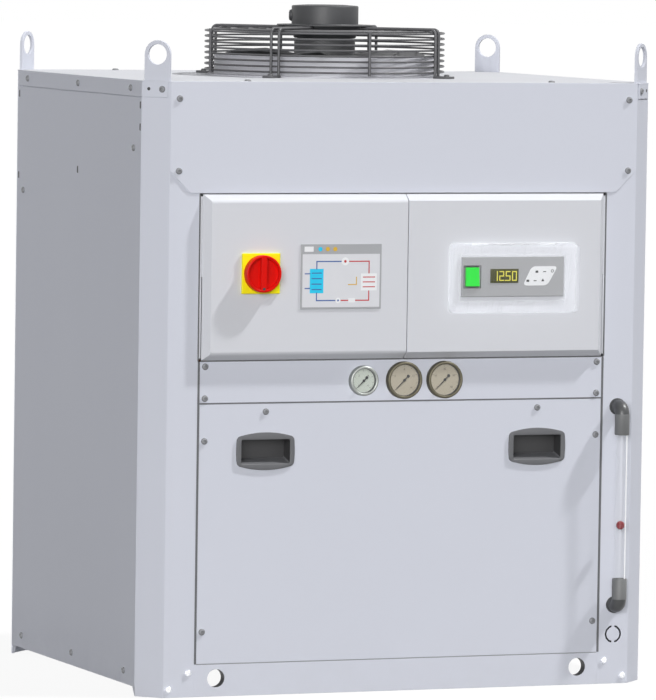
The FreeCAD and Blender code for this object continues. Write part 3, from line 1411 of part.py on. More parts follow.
def screws():
    heads = []
    fascia_x = half_width - d.corner_cut - d.fascia_cut * 3 / 7
    upper = d.case_height - d.roof_flange - d.seam
    for side, turn, y in ((-1, TO_FRONT, front - d.sheet), (1, ALONG_Y, back + d.sheet)):
        for x in (-fascia_x, fascia_x):
            for z in (upper, fascia_low + d.fascia_cut):
                heads.append(screw(x, y, z, turn))
    strip_x = panel_edge - d.landing * 2 / 5
    for z in (strip_low + d.screw_radius * 3 / 2, strip_high - d.screw_radius * 3 / 2):
        for x in (-strip_x, strip_x):
            heads.append(screw(x, front, z, TO_FRONT))
    rear_high = d.rail_height + d.seam + d.rear_panel_height
    grille_low = rear_high + d.seam
    for z in (service_low + d.landing, rear_high - d.landing, grille_low + d.landing, fascia_low - d.landing):
        for x in (-strip_x, strip_x):
            heads.append(screw(x, back, z, ALONG_Y))
    rim_y = side_edge * 5 / 6
    for side, turn in ((-1, ALONG_X.inverted()), (1, ALONG_X)):
        x = side * half_width
        for y in (-rim_y, as_size(0), rim_y):
            heads.append(screw(x, y, d.case_height - d.roof_flange / 2, turn))
            heads.append(screw(x, y, d.side_low + d.post_face * 2 / 5, turn))
        coil_y = side_edge * 8 / 9
        for y in (-coil_y, coil_y):
            heads.append(screw(x, y, coil_middle - coil_drop(y), turn))
    tab_out, tab_in = (tab_near / 2 + step * d.tab_screw / ROOT_TWO for step in (1, -1))
    for side_x, side_y, corner in CORNERS:
        turn = corner_turn(side_x, side_y).multiply(TO_FRONT)
        heads.append(screw(side_x * (half_width - tab_out), side_y * (half_depth - tab_in),
                           d.case_height - d.roof_flange / 2, turn))
        heads.append(screw(side_x * d.roof_screw_x, side_y * (half_depth - d.roof_screw_inset), d.case_height,
                           ALONG_Z))
    node(group("panel_screws_group", heads), "panel_screws")
    base_heads = []
    for side in (-1, 1):
        base_heads.append(screw(side * (post_edge + d.screw_radius * 2), front, d.rail_height * 3 / 4,
                                TO_FRONT))
        base_heads.append(screw(side * (half_width - d.corner_cut - d.screw_radius * 5 / 3), front,
                                d.rail_height / 4, TO_FRONT))
    node(group("base_screws_group", base_heads), "base_screws")
    held = []
    skin = front - d.moving_gap
    for side in (-1, 1):
        for x, z in ((d.handle_x, service_high - d.landing / 2), (strip_x, service_low + d.rail_height),
                     (strip_x, service_high - d.rail_height * 8 / 7)):
            held.append(screw(side * x, skin, z, TO_FRONT))
    node(group("service_screws_group", held), "service_screws")


base()
posts()
roof()
lugs()
fascia("front_fascia", -1)
fascia("rear_fascia", 1)
side_panel("side_panel_left", -1)
side_panel("side_panel_right", 1)
gauge_strip()
rear_panels()
service_panel()
control_box()
doors()
gauges()
level_gauge()
fan()
condenser_coil()
compressor()
refrigerant_pipes()
water_circuit()
cable_gland()
screws()

doc.recompute()
failed = [thing.Label for thing in doc.Objects if {"Invalid", "Error"} & set(thing.State)]
for thing in NODES:
    if thing.Shape.isNull() or not thing.Shape.isValid() or not thing.Shape.Solids:
        failed.append(thing.Label)
if failed:
    raise RuntimeError("not built: " + ", ".join(failed))

os.makedirs("parts", exist_ok=True)
for thing in NODES:
    thing.Shape.exportStep(f"parts/{thing.Label}.step")
print(f"{len(NODES)} nodes written")
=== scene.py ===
import bmesh
import bpy
import json
import math
from mathutils import Matrix, Vector


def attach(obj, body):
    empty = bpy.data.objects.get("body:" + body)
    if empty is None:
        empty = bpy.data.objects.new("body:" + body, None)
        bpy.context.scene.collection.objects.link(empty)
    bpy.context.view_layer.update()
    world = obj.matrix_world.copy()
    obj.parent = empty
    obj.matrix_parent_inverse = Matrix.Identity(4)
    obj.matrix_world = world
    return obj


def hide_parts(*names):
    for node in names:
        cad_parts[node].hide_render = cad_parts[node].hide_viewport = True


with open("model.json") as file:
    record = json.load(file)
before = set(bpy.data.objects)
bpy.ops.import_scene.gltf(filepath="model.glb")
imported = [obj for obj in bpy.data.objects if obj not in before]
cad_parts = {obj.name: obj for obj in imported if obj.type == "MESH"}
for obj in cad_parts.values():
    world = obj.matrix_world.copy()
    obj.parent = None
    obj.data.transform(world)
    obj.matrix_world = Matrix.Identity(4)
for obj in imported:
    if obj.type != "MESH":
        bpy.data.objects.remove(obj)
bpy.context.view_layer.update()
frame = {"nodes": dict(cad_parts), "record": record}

scene = bpy.context.scene
mm = 0.001  # the pieces' sizes and places are in millimetres
frontY = -350  # front faces of the posts
fanAxis = Vector((0, 25, 0))
toFront = Matrix.Rotation(math.radians(90), 4, "X")  # turns a piece's own Z towards the viewer
print("frame loaded with", len(frame["nodes"]), "nodes")


class Wire:  # a node socket that takes part in Python sums
    def __init__(self, tree, socket):
        self.tree = tree
        self.socket = socket

    def add(self, kind, settings, sockets, out=0):  # any node: its settings first, then values or links
        node = self.tree.nodes.new("ShaderNode" + kind)
        for name, value in settings.items():
            setattr(node, name, value)
        for name, value in sockets.items():
            if isinstance(value, Wire):
                self.tree.links.new(value.socket, node.inputs[name])
            else:
                node.inputs[name].default_value = value
        return Wire(self.tree, node.outputs[out])

    def __add__(self, other):
        return self.add("Math", {"operation": "ADD"}, {0: self, 1: other})

    def __mul__(self, other):
        return self.add("Math", {"operation": "MULTIPLY"}, {0: self, 1: other})

    __radd__ = __add__
    __rmul__ = __mul__


def startFinish(name, fixed):
    material = bpy.data.materials.new(name)
    material.use_nodes = True
    shader = material.node_tree.nodes["Principled BSDF"]
    for socket, value in fixed.items():
        shader.inputs[socket].default_value = value
    coords = material.node_tree.nodes.new("ShaderNodeTexCoord")
    return material, Wire(material.node_tree, coords.outputs["Object"])


def feed(at, links):
    shader = at.tree.nodes["Principled BSDF"]
    for socket, wire in links.items():
        at.tree.links.new(wire.socket, shader.inputs[socket])


def cloud(at, scale, detail, stretch=(1, 1, 1)):
    spot = at.add("Mapping", {}, {"Vector": at, "Scale": stretch})
    return spot.add("TexNoise", {}, {"Vector": spot, "Scale": scale, "Detail": detail, "Roughness": 0.55})


def clamped(wire, low, high):  # 0 at low, 1 at high, and held there
    return wire.add("MapRange", {"clamp": True}, {"Value": wire, "From Min": low, "From Max": high})


def tint(at, amount, first, second):  # from one colour to another; the first may vary already
    first = first if isinstance(first, Wire) else (*first, 1)
    return at.add("Mix", {"data_type": "RGBA"}, {0: amount, 6: first, 7: (*second, 1)}, out=2)


def varied(at, amount, colour, low, high):  # between two shares of one colour
    first, second = (tuple(channel * share for channel in colour) for share in (low, high))
    return tint(at, amount, first, second)


def relief(at, wire, strength, depth):
    return at.add("Bump", {}, {"Strength": strength, "Distance": depth, "Height": wire})


# paint with orange peel, wipe marks and dust low down
def powderCoat(name, colour, roughness, peelScale, dustShare=0.0, shine=0.12):
    material, at = startFinish(name, {"IOR": 1.48, "Specular IOR Level": shine})
    peel = cloud(at, peelScale, 1)
    patches = cloud(at, 2.4, 3)
    wipes = cloud(at, 14, 2, (1, 1, 0.15))
    height = at.add("SeparateXYZ", {}, {"Vector": at}, out="Z")
    dust = clamped(height, 0.11, 0.0) * clamped(cloud(at, 30, 4), 0.35, 0.75)
    paint = varied(at, patches, colour, 0.985, 1.015)
    feed(at, {
        "Base Color": tint(at, dust * dustShare, paint, (0.36, 0.34, 0.31)),
        "Roughness": roughness + wipes * 0.10 + dust * 0.25,
        "Normal": relief(at, peel, 0.10, 0.00015),
    })
    return material


def moulded(name, colour, roughness, grainScale, bump, shine=0.5):  # plastic with a fine spark-eroded grain
    material, at = startFinish(name, {"IOR": 1.49, "Specular IOR Level": shine})
    grain = cloud(at, grainScale, 2)
    rubbed = cloud(at, 45, 3)
    feed(at, {
        "Base Color": varied(at, rubbed, colour, 0.93, 1.07),
        "Roughness": roughness + rubbed * 0.12,
        "Normal": relief(at, grain, bump, 0.0002),
    })
    return material


def plated(name, colour, roughness, cellScale):  # metal with spangle cells and drawn streaks
    material, at = startFinish(name, {"Metallic": 1.0})
    spangle = at.add("TexVoronoi", {}, {"Vector": at, "Scale": cellScale}, out="Color")
    facets = spangle.add("SeparateColor", {}, {"Color": spangle})
    streaks = cloud(at, 60, 3, (1, 1, 0.05))
    feed(at, {
        "Base Color": varied(at, facets, colour, 0.88, 1.06),
        "Roughness": roughness + facets * 0.10 + streaks * 0.10,
        "Normal": relief(at, streaks, 0.05, 0.0001),
    })
    return material


def castPaint(name, colour, roughness, grainScale, bump):  # paint over a cast or coated surface
    material, at = startFinish(name, {"IOR": 1.5})
    pits = cloud(at, grainScale, 4)
    worn = clamped(cloud(at, 22, 4), 0.52, 0.78)
    feed(at, {
        "Base Color": varied(at, worn, colour, 1, 1.25),
        "Roughness": roughness + worn * 0.12,
        "Normal": relief(at, pits, bump, 0.0004),
    })
    return material


def printedFilm(name, colour, roughness, shine=0.4):  # matt film with a faint weave of the print screen
    material, at = startFinish(name, {"IOR": 1.5, "Specular IOR Level": shine})
    screen = cloud(at, 2600, 1)
    haze = cloud(at, 25, 2)
    feed(at, {
        "Base Color": varied(at, haze, colour, 0.97, 1.03),
        "Roughness": roughness + haze * 0.08,
        "Normal": relief(at, screen, 0.06, 0.00005),
    })
    return material


def clearPlastic(name, alpha, edgeAlpha, mirror=1.0):  # denser where the wall is seen along its length
    material, at = startFinish(name, {"Base Color": (0.95, 0.965, 0.985, 1), "Metallic": mirror})
    edge = at.add("LayerWeight", {}, {"Blend": 0.35}, out="Facing")
    smears = cloud(at, 38, 3)
    feed(at, {
        "Alpha": alpha + edge * edge * edgeAlpha + smears * 0.015,
        "Roughness": 0.16 + smears * 0.08,
    })
    return material


def lit(name, colour, glow):  # with a faint glow of its own
    material, at = startFinish(name, {"Roughness": 0.3, "Emission Strength": glow})
    spread = cloud(at, 300, 1)
    feed(at, {
        "Base Color": varied(at, spread, colour, 1, 0.8),
        "Emission Color": varied(at, spread, colour, 1, 0.85),
    })
    return material


def finStock(name):  # thin fins across the coil, seen edge on: light bands for the fin edges, darker bands as painted shade in the gaps between them
    material, at = startFinish(name, {"Metallic": 1.0})
    finBandsWithGapShade = at.add("TexWave", {"wave_type": "BANDS", "bands_direction": "X"}, {
        "Vector": at, "Scale": 130.0, "Distortion": 0.4, "Detail": 1.0}, out="Fac")
    dirt = cloud(at, 12, 3)
    feed(at, {
        "Base Color": tint(at, finBandsWithGapShade * 0.7 + dirt * 0.3, (0.30, 0.31, 0.32), (0.80, 0.81, 0.83)),
        "Roughness": 0.34 + dirt * 0.2,
        "Normal": relief(at, finBandsWithGapShade, 0.6, 0.0008),
    })
    return material


def camel(name):
    first, *rest = name.split("_")
    return first + "".join(word.capitalize() for word in rest)


finishes = {}


def makeFinishes(make, rows):  # each row holds the values that make takes after the name
    for name, values in rows.items():
        finishes[name] = make(camel(name), *values)


makeFinishes(powderCoat, {  # colour, roughness, peel, dust, shine
    "cabinet_paint": ((0.622, 0.640, 0.712), 0.40, 800, 0.06),
    "door_paint": ((0.640, 0.650, 0.690), 0.40, 800),
    "roof_paint": ((0.622, 0.630, 0.661), 0.72, 800, 0.0, 0.03),  # a duller, slightly darker copy of the cabinet paint for the faces that look up: painted shade
    "shroud_grey": ((0.56, 0.56, 0.60), 0.38, 700),
})
makeFinishes(moulded, {  # colour, roughness, grain, bump, shine
    "impeller_grey": ((0.085, 0.086, 0.09), 0.45, 700, 0.08),
    "handle_plastic": ((0.118, 0.120, 0.128), 0.45, 1500, 0.16),
    "switch_yellow": ((0.93, 0.84, 0.01), 0.28, 900, 0.05, 0.2),
    "switch_red": ((0.70, 0.006, 0.003), 0.30, 900, 0.04, 0.15),
    "switch_housing": ((0.30, 0.30, 0.31), 0.42, 900, 0.08),
    "rocker_green": ((0.018, 0.72, 0.045), 0.24, 600, 0.03, 0.2),
    "pointer_black": ((0.02, 0.021, 0.022), 0.4, 1200, 0.04),
    "elbow_plastic": ((0.150, 0.154, 0.156), 0.42, 1100, 0.10),
    "elbow_dark": ((0.058, 0.060, 0.062), 0.30, 1100, 0.08),
    "float_red": ((0.25, 0.008, 0.014), 0.25, 900, 0.03, 0.2),
    "gear_grey": ((0.34, 0.35, 0.37), 0.42, 900, 0.08),
    "gland_plastic": ((0.035, 0.035, 0.037), 0.45, 900, 0.08),
})
makeFinishes(plated, {  # colour, roughness, cells
    "zinc_steel": ((0.60, 0.61, 0.63), 0.30, 90),
    "gauge_metal": ((0.120, 0.110, 0.080), 0.44, 900),
    "gauge_silver": ((0.32, 0.335, 0.32), 0.38, 900),
    "screw_steel": ((0.235, 0.24, 0.25), 0.60, 900),
    "bright_screws": ((0.86, 0.87, 0.90), 0.24, 900),
    "evaporator_steel": ((0.62, 0.63, 0.64), 0.28, 500),
    "copper": ((0.78, 0.39, 0.23), 0.26, 400),
    "brass_pipe": ((0.72, 0.56, 0.28), 0.26, 500),
})
makeFinishes(castPaint, {  # colour, roughness, grain, bump
    "guard_wire": ((0.075, 0.075, 0.08), 0.42, 900, 0.10),
    "motor_black": ((0.038, 0.039, 0.042), 0.50, 420, 0.18),
    "compressor_black": ((0.024, 0.024, 0.026), 0.30, 160, 0.10),
    "tank_plastic": ((0.030, 0.030, 0.032), 0.70, 260, 0.5),
    "pump_paint": ((0.05, 0.10, 0.22), 0.38, 300, 0.2),
})
makeFinishes(printedFilm, {  # colour, roughness, shine
    "mimic_face": ((0.37, 0.378, 0.395), 0.42),
    "controller_grey": ((0.375, 0.38, 0.395), 0.40),
    "white": ((0.80, 0.81, 0.83), 0.4),
    "field": ((0.665, 0.672, 0.705), 0.42),
    "red": ((0.52, 0.055, 0.06), 0.4, 0.15),
    "blue": ((0.07, 0.13, 0.36), 0.4, 0.15),
    "cyan": ((0.035, 0.56, 0.82), 0.4, 0.15),
    "amber": ((0.66, 0.42, 0.06), 0.4, 0.15),
    "dark": ((0.035, 0.036, 0.04), 0.45),
    "beige": ((0.42, 0.38, 0.30), 0.5),
    "pale": ((0.50, 0.54, 0.485), 0.5),
    "olive": ((0.060, 0.062, 0.018), 0.3, 0.15),
})
makeFinishes(clearPlastic, {  # alpha, more alpha at the edges, mirrored share
    "frame_grey": (0.15, 0.65, 0.0),
    "clear_plastic": (0.012, 0.62),
    "lens": (0.012, 0.25),
    "tube": (0.02, 0.40),
})
makeFinishes(lit, {  # colour, glow
    "digits": ((0.74, 0.68, 0.09), 0.30),
    # a glowing band on the level tube: painted highlight
    "stripe": ((0.93, 0.94, 0.96), 0.16),
})
makeFinishes(finStock, {"coil_aluminium": ()})
print("finishes made:", len(finishes))

nodeBody = {node: body for body, nodes in frame["record"]["behaviour"]["bodies"].items() for node in nodes}
nodeSlot = {row["node"]: row["material_slot"] for row in frame["record"]["subparts"]}


def piece(name, bm, node, looks=None, smooth=None, even=False, replaced=True):  # a new piece for a CAD node
    mesh = bpy.data.meshes.new(name)
    bm.to_mesh(mesh)
    bm.free()
    for look in looks or [nodeSlot[node]]:
        mesh.materials.append(finishes[look])
    if smooth:
        mesh.shade_smooth()
        mesh.set_sharp_from_angle(angle=math.radians(smooth))
    obj = bpy.data.objects.new(name, mesh)
    scene.collection.objects.link(obj)
    if even:
        obj.modifiers.new("evenNormals", "WEIGHTED_NORMAL").keep_sharp = True
    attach(obj, nodeBody[node])
    if replaced:
        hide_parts(node)


def shift(x, y, z):  # a move in millimetres
    return Matrix.Translation(Vector((x, y, z)) * mm)


def facing(direction):  # turns a piece's own Z into a direction
    return direction.to_track_quat("Z", "Y").to_matrix().to_4x4()


def pick(look, *names):
    return [look[name] for name in names]


def span(edge, axis):
    return abs(edge.verts[0].co[axis] - edge.verts[1].co[axis])


def oblong(x, y):  # an outline with these half sizes
    return [(-x, -y), (x, -y), (x, y), (-x, y)]


def added(bm, old):
    return [v for v in bm.verts if v not in old]


def edgesOf(verts):
    return list({e for v in verts for e in v.link_edges})


def facesOf(verts):
    return list({f for v in verts for f in v.link_faces})


def rimOf(geom):  # the new vertices of an extrusion and the edges between them
    verts = [g for g in geom if isinstance(g, bmesh.types.BMVert)]
    return verts, [g for g in geom if isinstance(g, bmesh.types.BMEdge) and all(v in verts for v in g.verts)]


def ease(bm, geom, width, steps, clamp=False, affect="EDGES"):
    bmesh.ops.bevel(bm, geom=geom, offset=width * mm, offset_type="OFFSET", affect=affect, segments=steps,
                    profile=0.5, material=-1, clamp_overlap=clamp)


def settle(bm, old, place, ink):  # closes, turns outwards and places what was added since old
    bmesh.ops.remove_doubles(bm, verts=added(bm, old), dist=1e-7)
    fresh = added(bm, old)
    faces = facesOf(fresh)
    bmesh.ops.recalc_face_normals(bm, faces=faces)
    for face in faces:
        face.material_index = ink
    if place is not None:
        bmesh.ops.transform(bm, matrix=place, verts=fresh)


def thicken(bm, wall):
    bmesh.ops.recalc_face_normals(bm, faces=bm.faces)
    bmesh.ops.solidify(bm, geom=bm.faces, thickness=wall * mm)
    bmesh.ops.recalc_face_normals(bm, faces=bm.faces)


def lathe(bm, profile, steps, place, ink=0, closed=False):
    old = set(bm.verts)
    ring = [bm.verts.new((radius * mm, 0, level * mm)) for radius, level in profile]
    edges = [bm.edges.new(pair) for pair in zip(ring, ring[1:])]
    if closed:
        edges.append(bm.edges.new((ring[-1], ring[0])))
    bmesh.ops.spin(bm, geom=ring + edges, cent=(0, 0, 0), axis=(0, 0, 1), dvec=(0, 0, 0), angle=math.tau,
                   steps=steps, use_merge=True, use_duplicate=False)
    settle(bm, old, place, ink)


def pipe(bm, bore, outside, low, high, steps, place, ink=0):
    lathe(bm, [(bore, low), (outside, low), (outside, high), (bore, high)], steps, place, ink, closed=True)


def slab(bm, low, high, edge=0.0, steps=2, place=None, ink=0):  # a box, with eased edges if asked
    old = set(bm.verts)
    low, high = Vector(low) * mm, Vector(high) * mm
    made = bmesh.ops.create_cube(bm, size=1.0)["verts"]
    bmesh.ops.scale(bm, vec=high - low, verts=made)
    bmesh.ops.translate(bm, vec=(low + high) / 2, verts=made)
    if edge:
        ease(bm, edgesOf(made), edge, steps, clamp=True)
    settle(bm, old, place, ink)


def sheetShape(bm, outline, thick, place, ink=0, corner=0.0):  # a flat outline given some thickness
    old = set(bm.verts)
    face = bm.faces.new([bm.verts.new((x * mm, y * mm, 0)) for x, y in outline])
    raised, _ = rimOf(bmesh.ops.extrude_face_region(bm, geom=[face])["geom"])
    bmesh.ops.translate(bm, vec=(0, 0, thick * mm), verts=raised)
    if corner:
        upright = [e for e in edgesOf(added(bm, old)) if span(e, 2) > thick * mm / 2]
        ease(bm, upright, corner, 4, clamp=True)
    settle(bm, old, place, ink)


def bentRod(bm, radius, start, heading, moves, sides=12, ink=0):  # runs and bends, one after another
    old, bendSteps = set(bm.verts), 6
    spot, heading = Vector(start) * mm, Vector(heading).normalized()
    ring = bmesh.ops.create_circle(bm, segments=sides, radius=radius * mm,
                                   matrix=Matrix.Translation(spot) @ facing(heading))["verts"]
    edges = edgesOf(ring)
    bmesh.ops.contextual_create(bm, geom=edges)
    for kind, amount, *bend in moves:
        steps, step = 1, Matrix.Translation(heading * amount * mm)
        if kind == "bend":  # an angle, the side it bends to and its radius
            towards, reach = Vector(bend[0]).normalized(), bend[1] * mm
            centre = Matrix.Translation(spot + towards * reach)
            swing = Matrix.Rotation(math.radians(amount) / bendSteps, 4, heading.cross(towards))
            steps, step = bendSteps, centre @ swing @ centre.inverted()
        for _ in range(steps):
            ring, edges = rimOf(bmesh.ops.extrude_edge_only(bm, edges=edges)["geom"])
            bmesh.ops.transform(bm, matrix=step, verts=ring)
            spot, heading = step @ spot, step.to_3x3() @ heading
    bmesh.ops.contextual_create(bm, geom=edges)
    settle(bm, old, None, ink)


def mergedCopy(node):  # a CAD node's own shape with its loose triangles joined
    bm = bmesh.new()
    bm.from_mesh(frame["nodes"][node].data)
    bmesh.ops.remove_doubles(bm, verts=bm.verts, dist=5e-6)
    return bm


def bareCopy(node):  # the same with its flat faces made whole
    bm = mergedCopy(node)
    bmesh.ops.dissolve_limit(bm, angle_limit=math.radians(0.6), verts=bm.verts, edges=bm.edges)
    for face in bm.faces:
        face.material_index = 0
    return bm


def bends(bm, angle):
    return [e for e in bm.edges if len(e.link_faces) == 2 and e.calc_face_angle() > math.radians(angle)]


# width eases every bend; fold first eases the convex ones between faces of these areas in square metres
def softCopy(node, width, angle=25, fold=0.0, least=0.004, beside=0.0, steepest=180):
    bm = bareCopy(node)
    if fold:
        wide = []
        for edge in bends(bm, angle):
            small, large = sorted(face.calc_area() for face in edge.link_faces)
            gentle = edge.calc_face_angle() <= math.radians(steepest)
            if edge.is_convex and gentle and small > least and large > beside:
                wide.append(edge)
        ease(bm, wide, fold, 4)
    ease(bm, bends(bm, angle), width, 2)
    return bm


# sheet metal and other CAD shapes that only need eased edges
easedNodes = {
    "sheets": {"shape": {"width": 0.5, "fold": 1.4}, "nodes": [
        "post_front_left", "post_front_right", "post_rear_left", "post_rear_right", "side_panel_left",
        "side_panel_right", "service_panel", "rear_panel", "rear_grille", "control_box"]},
    "doors": {"shape": {"width": 0.45, "fold": 3.5, "least": 0.001, "beside": 0.05, "steepest": 69},
              "nodes": ["left_door", "right_door"]},
    "plates": {"shape": {"width": 0.5}, "nodes": [
        "lifting_lugs", "mimic_plate", "front_rail", "rear_rail", "front_fascia", "rear_fascia",
        "gauge_strip", "base_pan"]},
    "roof": {"shape": {"width": 0.5}, "top": "roof_paint", "nodes": ["roof_panel"]},
    "boxes": {"shape": {"width": 1.0}, "nodes": [
        "control_gear", "switch_body", "controller", "switch_plate"]},
}
for look in easedNodes.values():
    for node in look["nodes"]:
        eased = softCopy(node, **look["shape"])
        looks = [nodeSlot[node]]
        if "top" in look:
            looks.append(look["top"])
            eased.normal_update()
            for face in eased.faces:
                face.material_index = int(face.normal.z > 0.5)  # the faces that look up, which get the roof's painted shade
        piece(camel(node) + "Eased", eased, node, looks)
print("sheet pieces eased")

# turned and moulded CAD shapes that are shaded smooth, with the width of their eased edges
smoothNodes = {
    "impeller": 0.5, "rocker": 0.4, "compressor": 1.0, "evaporator": 1.0, "water_tank": 3.0, "pump": 1.0,
    "condenser_coil": 0.5, "cable_gland": 0.6, "water_pipes": 0.4, "refrigerant_pipes": 0.4}
for node, width in smoothNodes.items():
    piece(camel(node) + "Smooth", softCopy(node, width, angle=50), node, smooth=48, even=True)
piece("doorHingesPainted", softCopy("door_hinges", 0.3, angle=50), "door_hinges", ["door_paint"], smooth=48)
print("turned pieces smoothed")

# rubber lips in the gaps between the panels, filler strips, and dark sleeves in the bar holes that paint the
# shade inside them
seamLook = {
    "lips": [  # x, z, x, z and the front
        (-357, 479.1, 357, 481.6, -350.4), (-357, 548.6, 357, 550.2, -350.4),
        (-360, 822.2, 360, 823.4, -351.3)],
    "footLips": [(-357, 52.6, 357, 53.9, -349.7)],
    "sideLips": [(357.2, 54, 360.9, 549, -350.4), (359.6, 550, 361.8, 822.5, -350.4)],
    "fillers": [(357.4, 0.6, 361.2, 52.4, -350.1)],
    "thick": 1.2, "edge": 0.2,
    "roofGap": {"reach": 312, "low": 976.9, "high": 978.6, "side": 448},
    "liner": {"x": 322, "z": 29.7, "bore": 15, "outside": 16.2, "depth": 16, "inset": 1.5},
    "looks": ["handle_plastic", "gear_grey", "cabinet_paint", "gland_plastic"],
}


def makeSeams(look):
    bm = bmesh.new()
    thick, edge = look["thick"], look["edge"]
    rubber, grey, paint, dark = range(len(look["looks"]))
    for rows, ink, sides in (("lips", rubber, [1]), ("footLips", grey, [1]),
                             ("sideLips", rubber, [-1, 1]), ("fillers", paint, [-1, 1])):
        for x0, z0, x1, z1, front in look[rows]:
            for side in sides:
                left, right = sorted((side * x0, side * x1))
                slab(bm, (left, front, z0), (right, front + thick, z1), edge, 1, ink=ink)
    gap, liner = look["roofGap"], look["liner"]
    for side in (-1, 1):
        near, far = sorted((side * gap["side"], side * (gap["side"] - thick)))
        slab(bm, (near, -gap["reach"], gap["low"]), (far, gap["reach"], gap["high"]), edge, 1, ink=paint)
        # each bar hole gets a dark sleeve at the front and the back: painted shade inside the hole
        hole = shift(side * liner["x"], frontY + liner["inset"], liner["z"]) @ toFront
        for turn in (0, math.pi):  # front and back
            place = Matrix.Rotation(turn, 4, "Z") @ hole
            pipe(bm, liner["bore"], liner["outside"], 0, -liner["depth"], 32, place, dark)
    piece("seamRubber", bm, "cable_gland", look["looks"], replaced=False)


makeSeams(seamLook)

# roof fan
shroudLook = {"foot": 1005, "lip": 1040, "throat": 184.5, "outside": 187, "flange": 199, "sheet": 2}


def makeShroud(look):
    bm = bmesh.new()
    foot, lip, throat, outside, flange = pick(look, "foot", "lip", "throat", "outside", "flange")
    bed, middle = foot + look["sheet"], (throat + outside) / 2
    lathe(bm, [
        (flange, foot), (flange, bed), (outside + 5, bed), (outside + 1.5, foot + 3.2), (outside, foot + 6.5),
        (outside, lip - 1.5), (outside - 0.4, lip - 0.4), (middle, lip), (throat + 0.4, lip - 0.4),
        (throat, lip - 1.5), (throat, foot + 7), (throat + 1.2, foot + 2.5), (throat + 4.5, foot)],
        96, shift(*fanAxis), closed=True)
    piece("fanShroudRing", bm, "fan_shroud", smooth=40)


makeShroud(shroudLook)

guardLook = {
    "wire": 1.7, "ring": 202.3, "firstRing": 1014.6, "ringPitch": 9.3, "rings": 8,
    "topRing": 188.3, "topPitch": 30, "topRings": 4, "topLevel": 1082.8,
    "arms": 4, "rod": 2.5, "rodGap": 7, "rodCircle": 206.5, "rodTop": 1087, "rodEnd": 71.5, "bend": 9,
    "foot": {"near": 204, "far": 235, "half": 10, "low": 1005, "high": 1009, "bolt": 4.6, "boltGap": 10},
    "tie": {"low": 1009.8, "length": 74.2},
}


def makeHoops(name, node, wire, rows):  # wire rings with an eight-sided section
    bm = bmesh.new()
    corners = [math.tau * n / 8 for n in range(8)]
    for radius, level in rows:
        section = [(radius + wire * math.cos(turn), level + wire * math.sin(turn)) for turn in corners]
        lathe(bm, section, 96, shift(*fanAxis), closed=True)
    piece(name, bm, node, smooth=60)


def makeGuard(look):
    sideRows = [(look["ring"], look["firstRing"] + n * look["ringPitch"]) for n in range(look["rings"])]
    topRows = [(look["topRing"] - n * look["topPitch"], look["topLevel"]) for n in range(look["topRings"])]
    makeHoops("guardSideHoops", "guard_side_rings", look["wire"], sideRows)
    makeHoops("guardTopHoops", "guard_top_rings", look["wire"], topRows)
    bm = bmesh.new()
    foot, tie, bend, circle = pick(look, "foot", "tie", "bend", "rodCircle")
    near, far, half, low, high = pick(foot, "near", "far", "half", "low", "high")
    up = Vector((0, 0, 1))
    for n in range(look["arms"]):
        straight = math.tau * n / look["arms"]
        turn = straight + math.radians(45)
        out = Vector((math.cos(turn), math.sin(turn), 0))
        aside = up.cross(out)
        for side in (-1, 1):
            start = fanAxis + out * circle + aside * side * look["rodGap"] + up * high
            bentRod(bm, look["rod"], start, up, [
                ("run", look["rodTop"] - high - bend), ("bend", 90, -out, bend),
                ("run", circle - bend - look["rodEnd"])])
        place = shift(*fanAxis) @ Matrix.Rotation(turn, 4, "Z")
        slab(bm, (near, -half, low), (far, half, high), 0.6, 2, place)
        lathe(bm, [(0, 3.2), (3, 3.1), (foot["bolt"], 1.6), (foot["bolt"], 0)], 16,
              place @ shift(far - foot["boltGap"], 0, high))
        tieStart = fanAxis + Vector((math.cos(straight), math.sin(straight), 0)) * circle + up * tie["low"]
        bentRod(bm, look["rod"], tieStart, up, [("run", tie["length"])])
    piece("guardRods", bm, "guard_arms", smooth=50)


makeGuard(guardLook)

motorLook = {"bowl": (52.5, 66.5), "low": 1069, "plate": 81.5, "plateLow": 1089.5, "plateTop": 1092,
             "can": 56.7, "top": 1126, "bore": 8.05, "boreTop": 1098.5, "outlet": (-0.93, 0.367),
             "outletZ": 1107}


def makeMotor(look):
    bm = bmesh.new()
    narrow, wide = look["bowl"]
    plate, can, bore = pick(look, "plate", "can", "bore")
    low, under, over, top = pick(look, "low", "plateLow", "plateTop", "top")
    lathe(bm, [
        (bore, look["boreTop"]), (bore, low), (narrow - 1, low), (narrow, low + 1), (narrow + 3, low + 9),
        (wide - 2, under - 5), (wide, under - 2), (wide, under), (plate - 0.6, under), (plate, under + 0.6),
        (plate, over - 0.6), (plate - 0.6, over), (can + 1.2, over), (can, over + 1.2), (can, top - 4),
        (can - 0.5, top - 2.8), (can - 1.6, top - 2), (can * 0.6, top - 0.5), (0, top)],
        72, shift(*fanAxis))
    outX, outY = look["outlet"]
    place = shift(fanAxis.x + outX * can, fanAxis.y + outY * can, look["outletZ"])
    lathe(bm, [(0, 4.7), (5, 4.7), (8.4, 3.6), (10, 0.5), (10, -5)], 20,
          place @ facing(Vector((outX, outY, 0))))
    piece("fanMotorCan", bm, "fan_motor", smooth=40)


makeMotor(motorLook)
print("roof fan made")

# screws: each head takes the place and direction of its CAD head
screwLook = {"steps": 14, "profile": [  # radius and height, from the recess to the rim
    (0, 1.3), (1.7, 1.5), (2.4, 2.95), (3.8, 2.8), (4.9, 2.1), (5.5, 0.9), (5.5, 0)]}
cabinetMiddle = Vector((0, 0, 500)) * mm


